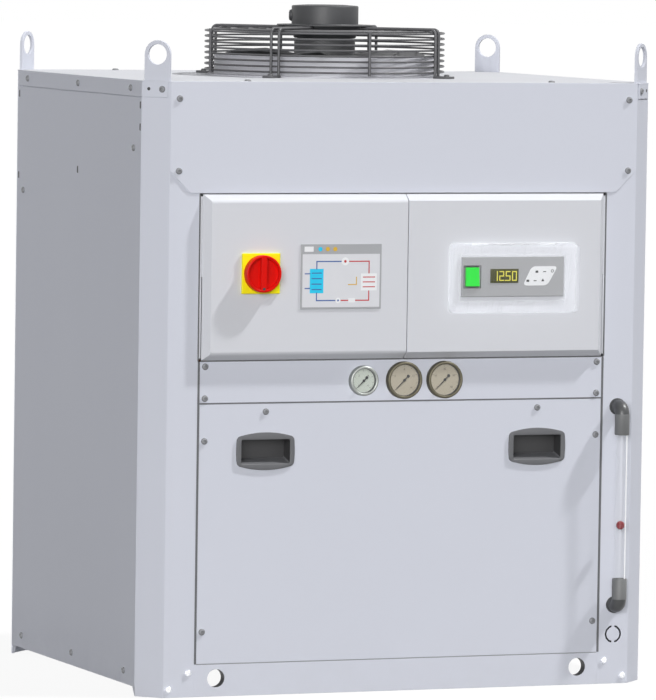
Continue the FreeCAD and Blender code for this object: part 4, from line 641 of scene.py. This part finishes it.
def makeScrews(node, look):
    heads = mergedCopy(node)
    bm, done = bmesh.new(), set()
    for vert in heads.verts:
        if vert in done:
            continue
        island, queue = {vert}, [vert]
        while queue:
            for edge in queue.pop().link_edges:
                for other in edge.verts:
                    if other not in island:
                        island.add(other)
                        queue.append(other)
        done |= island
        middle = sum((v.co for v in island), Vector()) / len(island)
        cap = max(facesOf(island), key=lambda f: f.calc_area())
        out = cap.normal if cap.normal.dot(middle - cabinetMiddle) > 0 else -cap.normal
        foot = min(v.co.dot(out) for v in island)
        seat = middle + out * (foot - middle.dot(out))
        lathe(bm, look["profile"], look["steps"], Matrix.Translation(seat) @ facing(out))
    heads.free()
    piece(camel(node) + "Heads", bm, node, smooth=35)


for node in ("panel_screws", "base_screws", "service_screws"):
    makeScrews(node, screwLook)
print("screws made")

# main switch knob
knobLook = {"x": -259.7, "z": 693.05, "back": -369.3, "radius": 30.5, "disc": 14, "hollow": 9, "rim": 4,
            "bar": 10, "spindle": (5, 34), "mark": (2.2, 4)}


def makeKnob(look):
    bm = bmesh.new()
    place = shift(look["x"], look["back"], look["z"]) @ toFront
    radius, top = look["radius"], look["disc"]
    inner, floor = radius - look["rim"], top - look["hollow"]
    spindle, reach = look["spindle"]
    lathe(bm, [
        (spindle, -reach), (spindle, 0), (radius - 0.8, 0), (radius, 0.8), (radius, top - 1.8),
        (radius - 0.5, top - 0.6), (radius - 1.6, top), (inner + 0.8, top), (inner, top - 0.8),
        (inner, floor + 2), (inner - 2, floor), (0, floor)], 64, place)
    half = look["bar"] / 2
    slab(bm, (-half, -inner - 1, floor - 1), (half, inner + 1, top - 0.02), 0.9, 3, place)
    # a small dark mark near one end of the bar: painted shade where the padlock hole is
    half, length = look["mark"]
    slab(bm, (-half, -inner, top - 0.5), (half, length - inner, top + 0.05), place=place, ink=1)
    piece("switchKnobTurned", bm, "switch_knob", ["switch_red", "dark"], smooth=35, even=True)


makeKnob(knobLook)
print("main switch made")

# pressure gauges
gaugeLook = {
    "z": 514.75, "dial": 5, "front": 12, "rim": 5, "back": 28, "steps": 56, "scale": (225, -45),
    "marks": 40, "markGap": 1.6, "numberGap": 8.4, "numberSize": 4.6,
    "markSizes": ((10, 3.2, 0.25), (5, 2.2, 0.25), (1, 1.4, 0.13)),  # every tenth, every fifth and the rest
    "looks": ["gauge_metal", "gauge_silver", "beige", "pale", "dark"],
}
gauges = {
    "left": {"x": -72, "radius": 25, "metal": "gauge_silver", "paper": "pale", "numbers": range(0, 8, 2)},
    "middle": {"x": 0, "radius": 31, "metal": "gauge_metal", "paper": "beige", "numbers": range(0, 20, 4)},
    "right": {"x": 72, "radius": 31, "metal": "gauge_metal", "paper": "beige", "numbers": range(0, 50, 10)},
}
pointerLook = {"tipGap": 4.4, "tailShare": 0.36, "rise": 1.5, "thick": 0.6, "half": 0.9, "tipHalf": 0.2,
               "bob": 2.6, "hub": 2.4, "pin": 0.8, "pinDepth": 4.2}


def numeral(bm, words, size, place, ink):  # a number as a thin mesh
    curve = bpy.data.curves.new("numeral", "FONT")
    curve.body, curve.size, curve.align_x, curve.align_y = words, size * mm, "CENTER", "CENTER"
    carrier = bpy.data.objects.new("numeral", curve)
    mesh = bpy.data.meshes.new_from_object(carrier)
    old = set(bm.verts)
    bm.from_mesh(mesh)
    fresh = added(bm, old)
    for face in facesOf(fresh):
        face.material_index = ink
    bmesh.ops.transform(bm, matrix=place, verts=fresh)
    bpy.data.objects.remove(carrier)
    bpy.data.curves.remove(curve)
    bpy.data.meshes.remove(mesh)


def makePointer(node, look, inner, dial, place):
    bm = bmesh.new()
    tip, tail, rise = inner - look["tipGap"], inner * look["tailShare"], dial + look["rise"]
    half, thin, bob, hub, pin = pick(look, "half", "tipHalf", "bob", "hub", "pin")
    sheetShape(bm, [(tip, thin), (0, half), (-tail, half), (-tail, -half), (0, -half), (tip, -thin)],
               look["thick"], place @ shift(0, 0, rise))
    lathe(bm, [(0, rise + 0.8), (bob - 0.4, rise + 0.75), (bob, rise + 0.4), (bob, rise), (0, rise)], 24,
          place @ shift(-tail, 0, 0))
    foot = dial - look["pinDepth"]
    lathe(bm, [(0, rise + 0.8), (hub - 0.8, rise + 0.75), (hub, rise + 0.4), (hub, rise), (pin, rise),
               (pin, foot), (0, foot)], 24, place)
    piece(camel(node) + "Needle", bm, node, smooth=35)


def makeGauge(name, gauge, look, cases, lenses):
    place = shift(gauge["x"], frontY, look["z"]) @ toFront
    dial, front, steps = pick(look, "dial", "front", "steps")
    radius, back = gauge["radius"], -look["back"]
    inner = radius - look["rim"]
    metal, paper, dark = (look["looks"].index(ink) for ink in (gauge["metal"], gauge["paper"], "dark"))
    start, end = (math.radians(angle) for angle in look["scale"])
    lathe(cases, [
        (0, back), (inner - 1, back), (inner, back + 1), (inner, 0), (radius - 1, 0), (radius, 1),
        (radius, front - 3.4), (radius - 0.6, front - 1.4), (radius - 1.8, front - 0.3),
        (radius - 3, front), (inner + 0.6, front - 0.6), (inner, front - 1.6), (inner, dial), (0, dial)],
        steps, place, metal)
    disc = inner - 0.3
    lathe(cases, [(0, dial + 0.08), (disc, dial + 0.08), (disc, dial)], steps, place, paper)
    # a dark ring on the bezel's inner wall: painted shade
    pipe(cases, inner - 0.7, inner, dial, front - 3.6, steps, place, dark)
    for n in range(look["marks"] + 1):
        length, half = next(size for every, *size in look["markSizes"] if n % every == 0)
        rim, turn = inner - look["markGap"], start + (end - start) * n / look["marks"]
        slab(cases, (rim - length, -half, dial + 0.05), (rim, half, dial + 0.18),
             place=place @ Matrix.Rotation(turn, 4, "Z"), ink=dark)
    for n, number in enumerate(gauge["numbers"]):
        reach, turn = inner - look["numberGap"], start + (end - start) * n / (len(gauge["numbers"]) - 1)
        spot = shift(reach * math.cos(turn), reach * math.sin(turn), dial + 0.18)
        numeral(cases, str(number), look["numberSize"], place @ spot, dark)
    glass = inner - 0.1
    lathe(lenses, [(0, front - 3.4), (glass, front - 3.4), (glass, front - 1.6), (inner - 1.5, front - 1.45),
                   (0, front - 1.4)], steps, place)
    makePointer("pointer_" + name, pointerLook, inner, dial, place @ Matrix.Rotation(start, 4, "Z"))


cases, lenses = bmesh.new(), bmesh.new()
for name, gauge in gauges.items():
    makeGauge(name, gauge, gaugeLook, cases, lenses)
piece("gaugeCasesTurned", cases, "gauge_cases", gaugeLook["looks"], smooth=40)
piece("gaugeLensesClear", lenses, "gauge_lenses", ["lens"], smooth=40)
print("gauges made")

# level gauge on the right post
levelLook = {
    "x": 387, "y": -372, "low": 132.8, "high": 465.4, "radius": 12, "socket": 46, "collar": 14,
    "spigot": (9, 56), "tube": 10, "bore": 8, "tubeLow": 158.8, "tubeHigh": 439.4,
    "float": 7.2, "floatZ": 268,
    "stripe": (24, 46),  # the band of the tube's glowing painted highlight, in degrees to the right of the front
}


def makeElbows(look):
    bm = bmesh.new()
    x, y, radius, end, collar = pick(look, "x", "y", "radius", "socket", "collar")
    hold, bend = look["tube"] + 0.2, radius + 1
    spigot, depth = look["spigot"]
    for level, up in ((look["low"], 1), (look["high"], -1)):
        bentRod(bm, radius, (x, frontY, level), (0, -1, 0), [
            ("run", frontY - y - bend), ("bend", 90, (0, 0, up), bend), ("run", 8)], 28, 1)
        mouth = shift(x, y, level) @ Matrix.Rotation(0 if up > 0 else math.pi, 4, "X")
        lathe(bm, [(radius - 1.5, 10.5), (radius + 0.3, 11.5), (radius + 0.3, end - 1), (radius - 0.4, end),
                   (hold, end), (hold, end - 20)], 28, mouth)
        lathe(bm, [(spigot, -depth), (spigot, 0), (collar, 0), (collar, 2.8), (collar - 1, 4),
                   (radius - 1, 4)], 28, shift(x, frontY, level) @ toFront, 1)
    piece("levelElbowsMoulded", bm, "level_elbows", ["elbow_plastic", "elbow_dark"], smooth=45)


def makeTube(look):
    bm = bmesh.new()
    x, y, bore, tube, low, high = pick(look, "x", "y", "bore", "tube", "tubeLow", "tubeHigh")
    pipe(bm, bore, tube, low, high, 72, shift(x, y, 0))
    # the outer faces in this band take the glowing stripe, a painted highlight
    near, far = look["stripe"]
    for face in bm.faces:
        side = face.calc_center_median() / mm - Vector((x, y, 0))
        if near < math.degrees(math.atan2(side.x, -side.y)) < far and side.xy.length > tube - 0.2:
            face.material_index = 1
    piece("levelTubeClear", bm, "level_tube", ["tube", "stripe"], smooth=40)


def makeFloat(look):
    bm = bmesh.new()
    bmesh.ops.create_uvsphere(bm, u_segments=32, v_segments=20, radius=look["float"] * mm,
                              matrix=shift(look["x"], look["y"], look["floatZ"]))
    piece("floatBallRound", bm, "float_ball", smooth=60)


makeElbows(levelLook)
makeTube(levelLook)
makeFloat(levelLook)
print("level gauge made")

# printed diagram on the left door: plain flow symbols, cold at the left and warm at the right
mimicLook = {
    "corner": (-189.5, 634), "face": -365.5, "layer": 0.004,
    "looks": ["field", "red", "blue", "cyan", "white", "amber"],
    "symbols": [  # places from the plate's lower left corner; later symbols lie over earlier ones
        ("patch", "field", (3, 3), (139, 90)), ("patch", "white", (6, 94), (22, 102.5)),
        ("disc", "cyan", (34, 98.25), 3.6), *[("disc", "amber", (x, 98.25), 3.6) for x in (47, 60)],
        ("patch", "cyan", (16, 26), (40, 66)),
        *[("line", "blue", 1.7, (20, z), (36, z)) for z in (32, 41, 50, 59)],
        *[("line", "blue", 1.9, (8, z), (16, z)) for z in (58, 34)],
        ("line", "blue", 1.9, (28, 26), (28, 14), (66, 14)),
        ("line", "red", 1.9, (66, 14), (120, 14), (120, 30)),
        ("line", "red", 1.9, (120, 58), (120, 78), (80, 78)),
        ("line", "blue", 1.9, (80, 78), (28, 78), (28, 66)),
        ("patch", "white", (106, 30), (134, 58)),
        *[("line", "red", 1.7, (110, z), (130, z)) for z in (36, 44, 52)],
        ("disc", "white", (78, 78), 6.5), ("disc", "red", (78, 78), 2.2),
        ("disc", "white", (66, 14), 4.5), ("disc", "blue", (66, 14), 1.6),
        ("patch", "white", (84, 10.5), (96, 17.5)), ("line", "amber", 1.5, (84, 40), (98, 40), (98, 52))],
}


def makeMimicPrint(look):
    bm = bmesh.new()
    left, low = look["corner"]
    face, depth = look["face"], 0.0

    def patch(ink, near, far):
        (x0, z0), (x1, z1) = near, far
        slab(bm, (left + x0, face - 0.12 - depth, low + z0), (left + x1, face + 0.05, low + z1), ink=ink)

    def disc(ink, spot, radius):
        x, z = spot
        lathe(bm, [(0, 0.14 + depth), (radius, 0.14 + depth), (radius, 0)], 32,
              shift(left + x, face, low + z) @ toFront, ink)

    for kind, name, *values in look["symbols"]:
        ink = look["looks"].index(name)
        if kind == "line":
            wide, *points = values
            for ends in zip(points, points[1:]):
                depth += look["layer"]
                near = [min(pair) - wide / 2 for pair in zip(*ends)]
                far = [max(pair) + wide / 2 for pair in zip(*ends)]
                patch(ink, near, far)
        else:
            depth += look["layer"]
            (patch if kind == "patch" else disc)(ink, *values)
    piece("mimicPrint", bm, "mimic_plate", look["looks"], replaced=False)


makeMimicPrint(mimicLook)

# controller face: display, digits, the rocker's bezel and membrane keys
displayLook = {"x": (145.6, 196), "z": (674.5, 698), "face": -368, "number": "12.50",
               "digit": (8.4, 16), "bar": 1.5, "point": -1.6, "margin": 4.5, "gap": 3,
               "bezel": (98, 666.2, 128.8, 703.9), "bezelWide": 0.9}
keysLook = {"top": (220, 267), "bottom": (204, 248), "z": (670, 702), "corner": 7, "film": 0.35,
            "ring": (257, 694), "marks": [  # the places and outlines of the other marks
                (((229, 693), (213, 678)), oblong(2.4, 1.8)), (((243, 693), (226, 678)), oblong(2.6, 0.7)),
                (((240, 679),), [(-2.8, -2), (2.8, -2), (0, 2.8)])]}
segments = {"0": "abcdef", "1": "bc", "2": "abged", "5": "afgcd"}  # the bars that light up in each digit
controllerLooks = ["olive", "digits", "white", "dark"]
glass, digits, film, dark = range(len(controllerLooks))


def makeDisplay(bm, look):
    face, bar, (wide, tall) = look["face"], look["bar"], look["digit"]
    (x0, x1), (z0, z1) = look["x"], look["z"]
    slab(bm, (x0, face - 0.9, z0), (x1, face + 0.1, z1), 0.6, ink=glass)
    half, right = tall / 2, wide - bar
    bars = {"a": (0, tall - bar, wide, bar), "g": (0, half - bar / 2, wide, bar), "d": (0, 0, wide, bar),
            "f": (0, half, bar, half), "b": (right, half, bar, half), "e": (0, 0, bar, half),
            "c": (right, 0, bar, half), ".": (look["point"], 0, bar, bar)}
    pen, base = x0 + look["margin"], (z0 + z1 - tall) / 2
    for mark in look["number"]:
        for name in segments.get(mark, mark):
            x, z, across, up = bars[name]
            x, z = pen + x, base + z
            slab(bm, (x, face - 1.05, z), (x + across, face - 0.85, z + up), ink=digits)
        pen += wide + look["gap"] if mark in segments else 0
    left, low, right, high = look["bezel"]
    wide = look["bezelWide"]
    for x, z, ex, ez in ((left, low, left + wide, high), (right - wide, low, right, high),
                         (left, low, right, low + wide), (left, high - wide, right, high)):
        slab(bm, (x, face - 0.8, z), (ex, face + 0.1, ez), ink=dark)


def makeKeys(bm, look, face):
    place = shift(0, face, 0) @ toFront
    (top0, top1), (bottom0, bottom1), (low, high) = look["top"], look["bottom"], look["z"]
    sheetShape(bm, [(bottom0, low), (bottom1, low), (top1, high), (top0, high)], look["film"], place, film,
               look["corner"])
    for spots, outline in look["marks"]:
        for x, z in spots:
            sheetShape(bm, outline, 0.2, place @ shift(x, z, look["film"]), dark)
    lathe(bm, [(2.6, 0), (2.6, 0.2), (1.7, 0.2), (1.7, 0)], 20,
          place @ shift(*look["ring"], look["film"]), dark)


controllerFace = bmesh.new()
makeDisplay(controllerFace, displayLook)
makeKeys(controllerFace, keysLook, displayLook["face"])
piece("controllerFace", controllerFace, "controller", controllerLooks, smooth=30, replaced=False)
print("diagram and controller made")

# clear lid over the controller
lidLook = {"low": (73, -385.3, 625.05), "high": (301, -367.3, 738.55), "corner": 8, "wall": 2.5,
           "edge": 4.5, "tab": (24, 5), "knuckle": (90, 2.2, 1.05), "pivot": (-369.5, 738.85)}


def makeLid(look):
    bm = bmesh.new()
    slab(bm, look["low"], look["high"])
    alongDepth = [e for e in bm.edges if span(e, 1) > 5 * mm]
    ease(bm, alongDepth, look["corner"], 6, clamp=True)
    front = min(bm.faces, key=lambda f: f.calc_center_median().y)
    ease(bm, list(front.edges), look["edge"], 3, clamp=True)
    openBack = max(bm.faces, key=lambda f: f.calc_center_median().y)
    bmesh.ops.delete(bm, geom=[openBack], context="FACES_ONLY")
    thicken(bm, look["wall"])
    left, y, low = look["low"]
    middle = (left + look["high"][0]) / 2
    width, drop = look["tab"]
    slab(bm, (middle - width / 2, y, low - drop), (middle + width / 2, y + look["wall"], low + 1), 0.8)
    length, radius, bore = look["knuckle"]
    place = shift(middle - length / 2, *look["pivot"]) @ Matrix.Rotation(math.radians(90), 4, "Y")
    pipe(bm, bore, radius, 0, length, 20, place)
    piece("clearLid", bm, "clear_cover", smooth=30)


makeLid(lidLook)
frameLook = {"middle": 187, "half": 114, "corner": 8, "edge": 0.6}


def makeCoverFrame(look):  # the fixed border under the lid
    bm = bareCopy("cover_frame")
    outer = [e for e in bm.edges if span(e, 1) > 2 * mm
             and all(abs(abs(v.co.x / mm - look["middle"]) - look["half"]) < 0.1 for v in e.verts)]
    ease(bm, outer, look["corner"], 5)
    ease(bm, bends(bm, 30), look["edge"], 2)
    piece("coverFrameFrosted", bm, "cover_frame", smooth=30)


makeCoverFrame(frameLook)
print("clear cover made")

# flush pulls on the service panel
handleLook = {"x": 241.5, "z": 401.2, "face": -350.3, "half": (51, 31), "arch": 7.5, "bulge": 1.5,
              "corner": 5, "flange": 3, "mouth": (42.5, -21, 19), "mouthCorner": 2.5, "depth": 26,
              "ramp": 8, "rampTop": -10, "wall": 1.8, "edge": 0.9}


def makeHandle(node, side, look):
    bm = bmesh.new()
    (halfW, halfH), arch, bulge, flange = pick(look, "half", "arch", "bulge", "flange")
    flat = halfW - bulge
    half = [(flat * n / 6, halfH - arch * (n / 6) ** 2) for n in range(-6, 7)]
    half += [(flat + bulge * (1 - v * v), (halfH - arch) * v) for v in (0.6, 0.2, -0.2, -0.6)]
    rim = half + [(-x, -y) for x, y in half]
    wide, low, high = look["mouth"]
    mouth = [(-wide, low), (wide, low), (wide, high), (-wide, high)]
    loops = []
    for outline, corners, radius in (  # the corners are the points that get rounded
            (rim, (0, 12, 17, 29), look["corner"]), (mouth, range(4), look["mouthCorner"])):
        old = set(bm.verts)
        ring = [bm.verts.new((x * mm, y * mm, flange * mm)) for x, y in outline]
        bm.faces.new(ring)
        ease(bm, [ring[n] for n in corners], radius, 5, affect="VERTICES")
        loops.append(edgesOf(added(bm, old)))
    bmesh.ops.delete(bm, geom=bm.faces[:], context="FACES_ONLY")
    outer, inner = loops
    bmesh.ops.triangle_fill(bm, use_beauty=True, use_dissolve=True, edges=outer + inner)
    skirt, _ = rimOf(bmesh.ops.extrude_edge_only(bm, edges=outer)["geom"])
    bmesh.ops.translate(bm, vec=(0, 0, -flange * mm), verts=skirt)
    deep, backEdges = rimOf(bmesh.ops.extrude_edge_only(bm, edges=inner)["geom"])
    bmesh.ops.translate(bm, vec=(0, 0, -(flange + look["depth"]) * mm), verts=deep)
    bmesh.ops.translate(bm, vec=(0, look["ramp"] * mm, 0), verts=[v for v in deep if v.co.y < 0])
    bmesh.ops.contextual_create(bm, geom=backEdges)
    for face in facesOf(deep):  # the upper faces of the cup take the darker plastic as painted shade in the recess; the ramp stays as light as the rim
        face.material_index = int(face.calc_center_median().y > look["rampTop"] * mm)
    bmesh.ops.recalc_face_normals(bm, faces=bm.faces)
    ease(bm, outer + inner, look["edge"], 3)
    thicken(bm, look["wall"])
    bmesh.ops.transform(bm, matrix=shift(side * look["x"], look["face"], look["z"]) @ toFront, verts=bm.verts)
    piece(camel(node) + "Pull", bm, node, ["handle_plastic", "gland_plastic"], smooth=35)


for node, side in (("handle_left", -1), ("handle_right", 1)):
    makeHandle(node, side, handleLook)
print("handles made")

# small dark caps in the side slots and holes of the corner tabs, as painted shade where the openings look
# dark
slotShadeCapLook = {"slot": (3.3, 5.8), "corner": 2.5, "thick": 0.8, "sideX": 448.9,
           "spots": ((-305, 965), (305, 965), (-305, 929.1), (305, 825.9), (0, 847.5)),
           "tabHole": 2.8, "tabZ": 992, "shift": 13, "tabMiddle": (433.06, 333.06)}


def makeCaps(look):
    bm = bmesh.new()
    half, tall = look["slot"]
    hole, (tabX, tabY) = look["tabHole"], look["tabMiddle"]
    along = look["shift"] * math.sqrt(0.5)
    for sideX in (-1, 1):
        for y, z in look["spots"]:
            place = shift(sideX * look["sideX"], y, z) @ Matrix.Rotation(math.radians(90 * sideX), 4, "Y")
            sheetShape(bm, oblong(tall, half), look["thick"], place, corner=look["corner"])
        for sideY in (-1, 1):
            place = shift(sideX * (tabX + along), sideY * (tabY - along), look["tabZ"])
            lathe(bm, [(0, 0.25), (hole, 0.2), (hole, -0.4)], 16, place @ facing(Vector((sideX, sideY, 0))))
    piece("slotCaps", bm, "cable_gland", replaced=False)


makeCaps(slotShadeCapLook)
print("caps made, CAD shapes left:", sum(not obj.hide_render for obj in frame["nodes"].values()))

# the gauges and the clear cover throw no shadow on the front
for name in ("gaugeCasesTurned", "gaugeLensesClear", "coverFrameFrosted", "clearLid"):
    bpy.data.objects[name].visible_shadow = False

# floor, sized in metres, world and lamps
stageLook = {"floor": 60.0, "floorColour": (0.93, 0.93, 0.93, 1), "bounceColour": (0.10, 0.10, 0.10, 1),
             "whiteShare": 0.91, "ambient": 0.10, "ambientColour": (0.95, 0.97, 1.0, 1),
             "white": (1, 1, 1, 1)}


def startStage(owner, first, last):  # removes the first shader and starts from the last socket
    owner.use_nodes = True
    tree = owner.node_tree
    tree.nodes.remove(tree.nodes[first])
    return Wire(tree, tree.nodes[last].inputs["Surface"])


def split(out, forLight, forViewers):  # the camera, mirrors and glass see another shader than the light does
    seen, gloss, through = (out.add("LightPath", {}, {}, out="Is " + ray + " Ray")
                            for ray in ("Camera", "Glossy", "Transmission"))
    viewers = out.add("Math", {"operation": "ADD", "use_clamp": True}, {0: seen + gloss, 1: through})
    mixed = out.add("MixShader", {}, {0: viewers, 1: forLight, 2: forViewers})
    out.tree.links.new(mixed.socket, out.socket)


def makeFloor(look):
    bm = bmesh.new()
    bmesh.ops.create_grid(bm, x_segments=1, y_segments=1, size=look["floor"])
    mesh = bpy.data.meshes.new("floor")
    bm.to_mesh(mesh)
    bm.free()
    material = bpy.data.materials.new("floorPaint")
    out = startStage(material, "Principled BSDF", "Material Output")
    paint = out.add("BsdfDiffuse", {}, {"Color": look["floorColour"]})
    glow = out.add("Emission", {}, {"Color": look["white"], "Strength": 1.0})
    pale = out.add("MixShader", {}, {0: look["whiteShare"], 1: paint, 2: glow})
    split(out, out.add("BsdfDiffuse", {}, {"Color": look["bounceColour"]}), pale)
    mesh.materials.append(material)
    floor = bpy.data.objects.new("floor", mesh)
    scene.collection.objects.link(floor)


def makeWorld(look):
    scene.world = bpy.data.worlds.new("studio")
    out = startStage(scene.world, "Background", "World Output")
    soft = out.add("Background", {}, {"Color": look["ambientColour"], "Strength": look["ambient"]})
    split(out, soft, out.add("Background", {}, {"Color": look["white"], "Strength": 1.0}))


makeFloor(stageLook)
makeWorld(stageLook)
lampLook = {
    "key": {"azimuth": 70, "elevation": 54, "strength": 3.0, "angle": 3},
    "fill": {"azimuth": -30, "elevation": 8, "strength": 3.27, "angle": 40},
    "back": {"azimuth": 165, "elevation": 5, "strength": 2.4, "angle": 50, "gloss": False},
}


def aim(look):  # from the object, with the front at azimuth 0
    azimuth, elevation = math.radians(look["azimuth"]), math.radians(look["elevation"])
    return Vector((math.sin(azimuth) * math.cos(elevation), -math.cos(azimuth) * math.cos(elevation),
                   math.sin(elevation)))


for name, lamp in lampLook.items():
    data = bpy.data.lights.new(name, "SUN")
    data.energy, data.angle = lamp["strength"], math.radians(lamp["angle"])
    obj = bpy.data.objects.new(name, data)
    obj.visible_glossy = lamp.get("gloss", True)  # the back lamp would glare on the roof
    obj.rotation_mode = "QUATERNION"
    obj.rotation_quaternion = aim(lamp).to_track_quat("Z", "Y")
    scene.collection.objects.link(obj)

# camera fitted to the cabinet's edges, its place in metres
cameraLook = {"azimuth": -21.541, "elevation": 3.888, "roll": 0.845, "lens": 329.59, "sensor": 36,
              "farthest": 200, "place": (-3.98307, -10.10204, 1.27823)}


def makeCamera(look):
    roll, back = math.radians(look["roll"]), aim(look)
    right = Vector((0, 0, 1)).cross(back).normalized()
    up = back.cross(right)
    across = math.cos(roll) * right + math.sin(roll) * up
    upright = math.cos(roll) * up - math.sin(roll) * right
    data = bpy.data.cameras.new("camera")
    data.sensor_width, data.lens, data.clip_end = look["sensor"], look["lens"], look["farthest"]
    obj = bpy.data.objects.new("camera", data)
    turn = Matrix((across, upright, back)).transposed()
    obj.matrix_world = Matrix.Translation(look["place"]) @ turn.to_4x4()
    scene.collection.objects.link(obj)
    scene.camera = obj


makeCamera(cameraLook)
scene.view_settings.view_transform = "Standard"
print("stage, lamps and camera set")
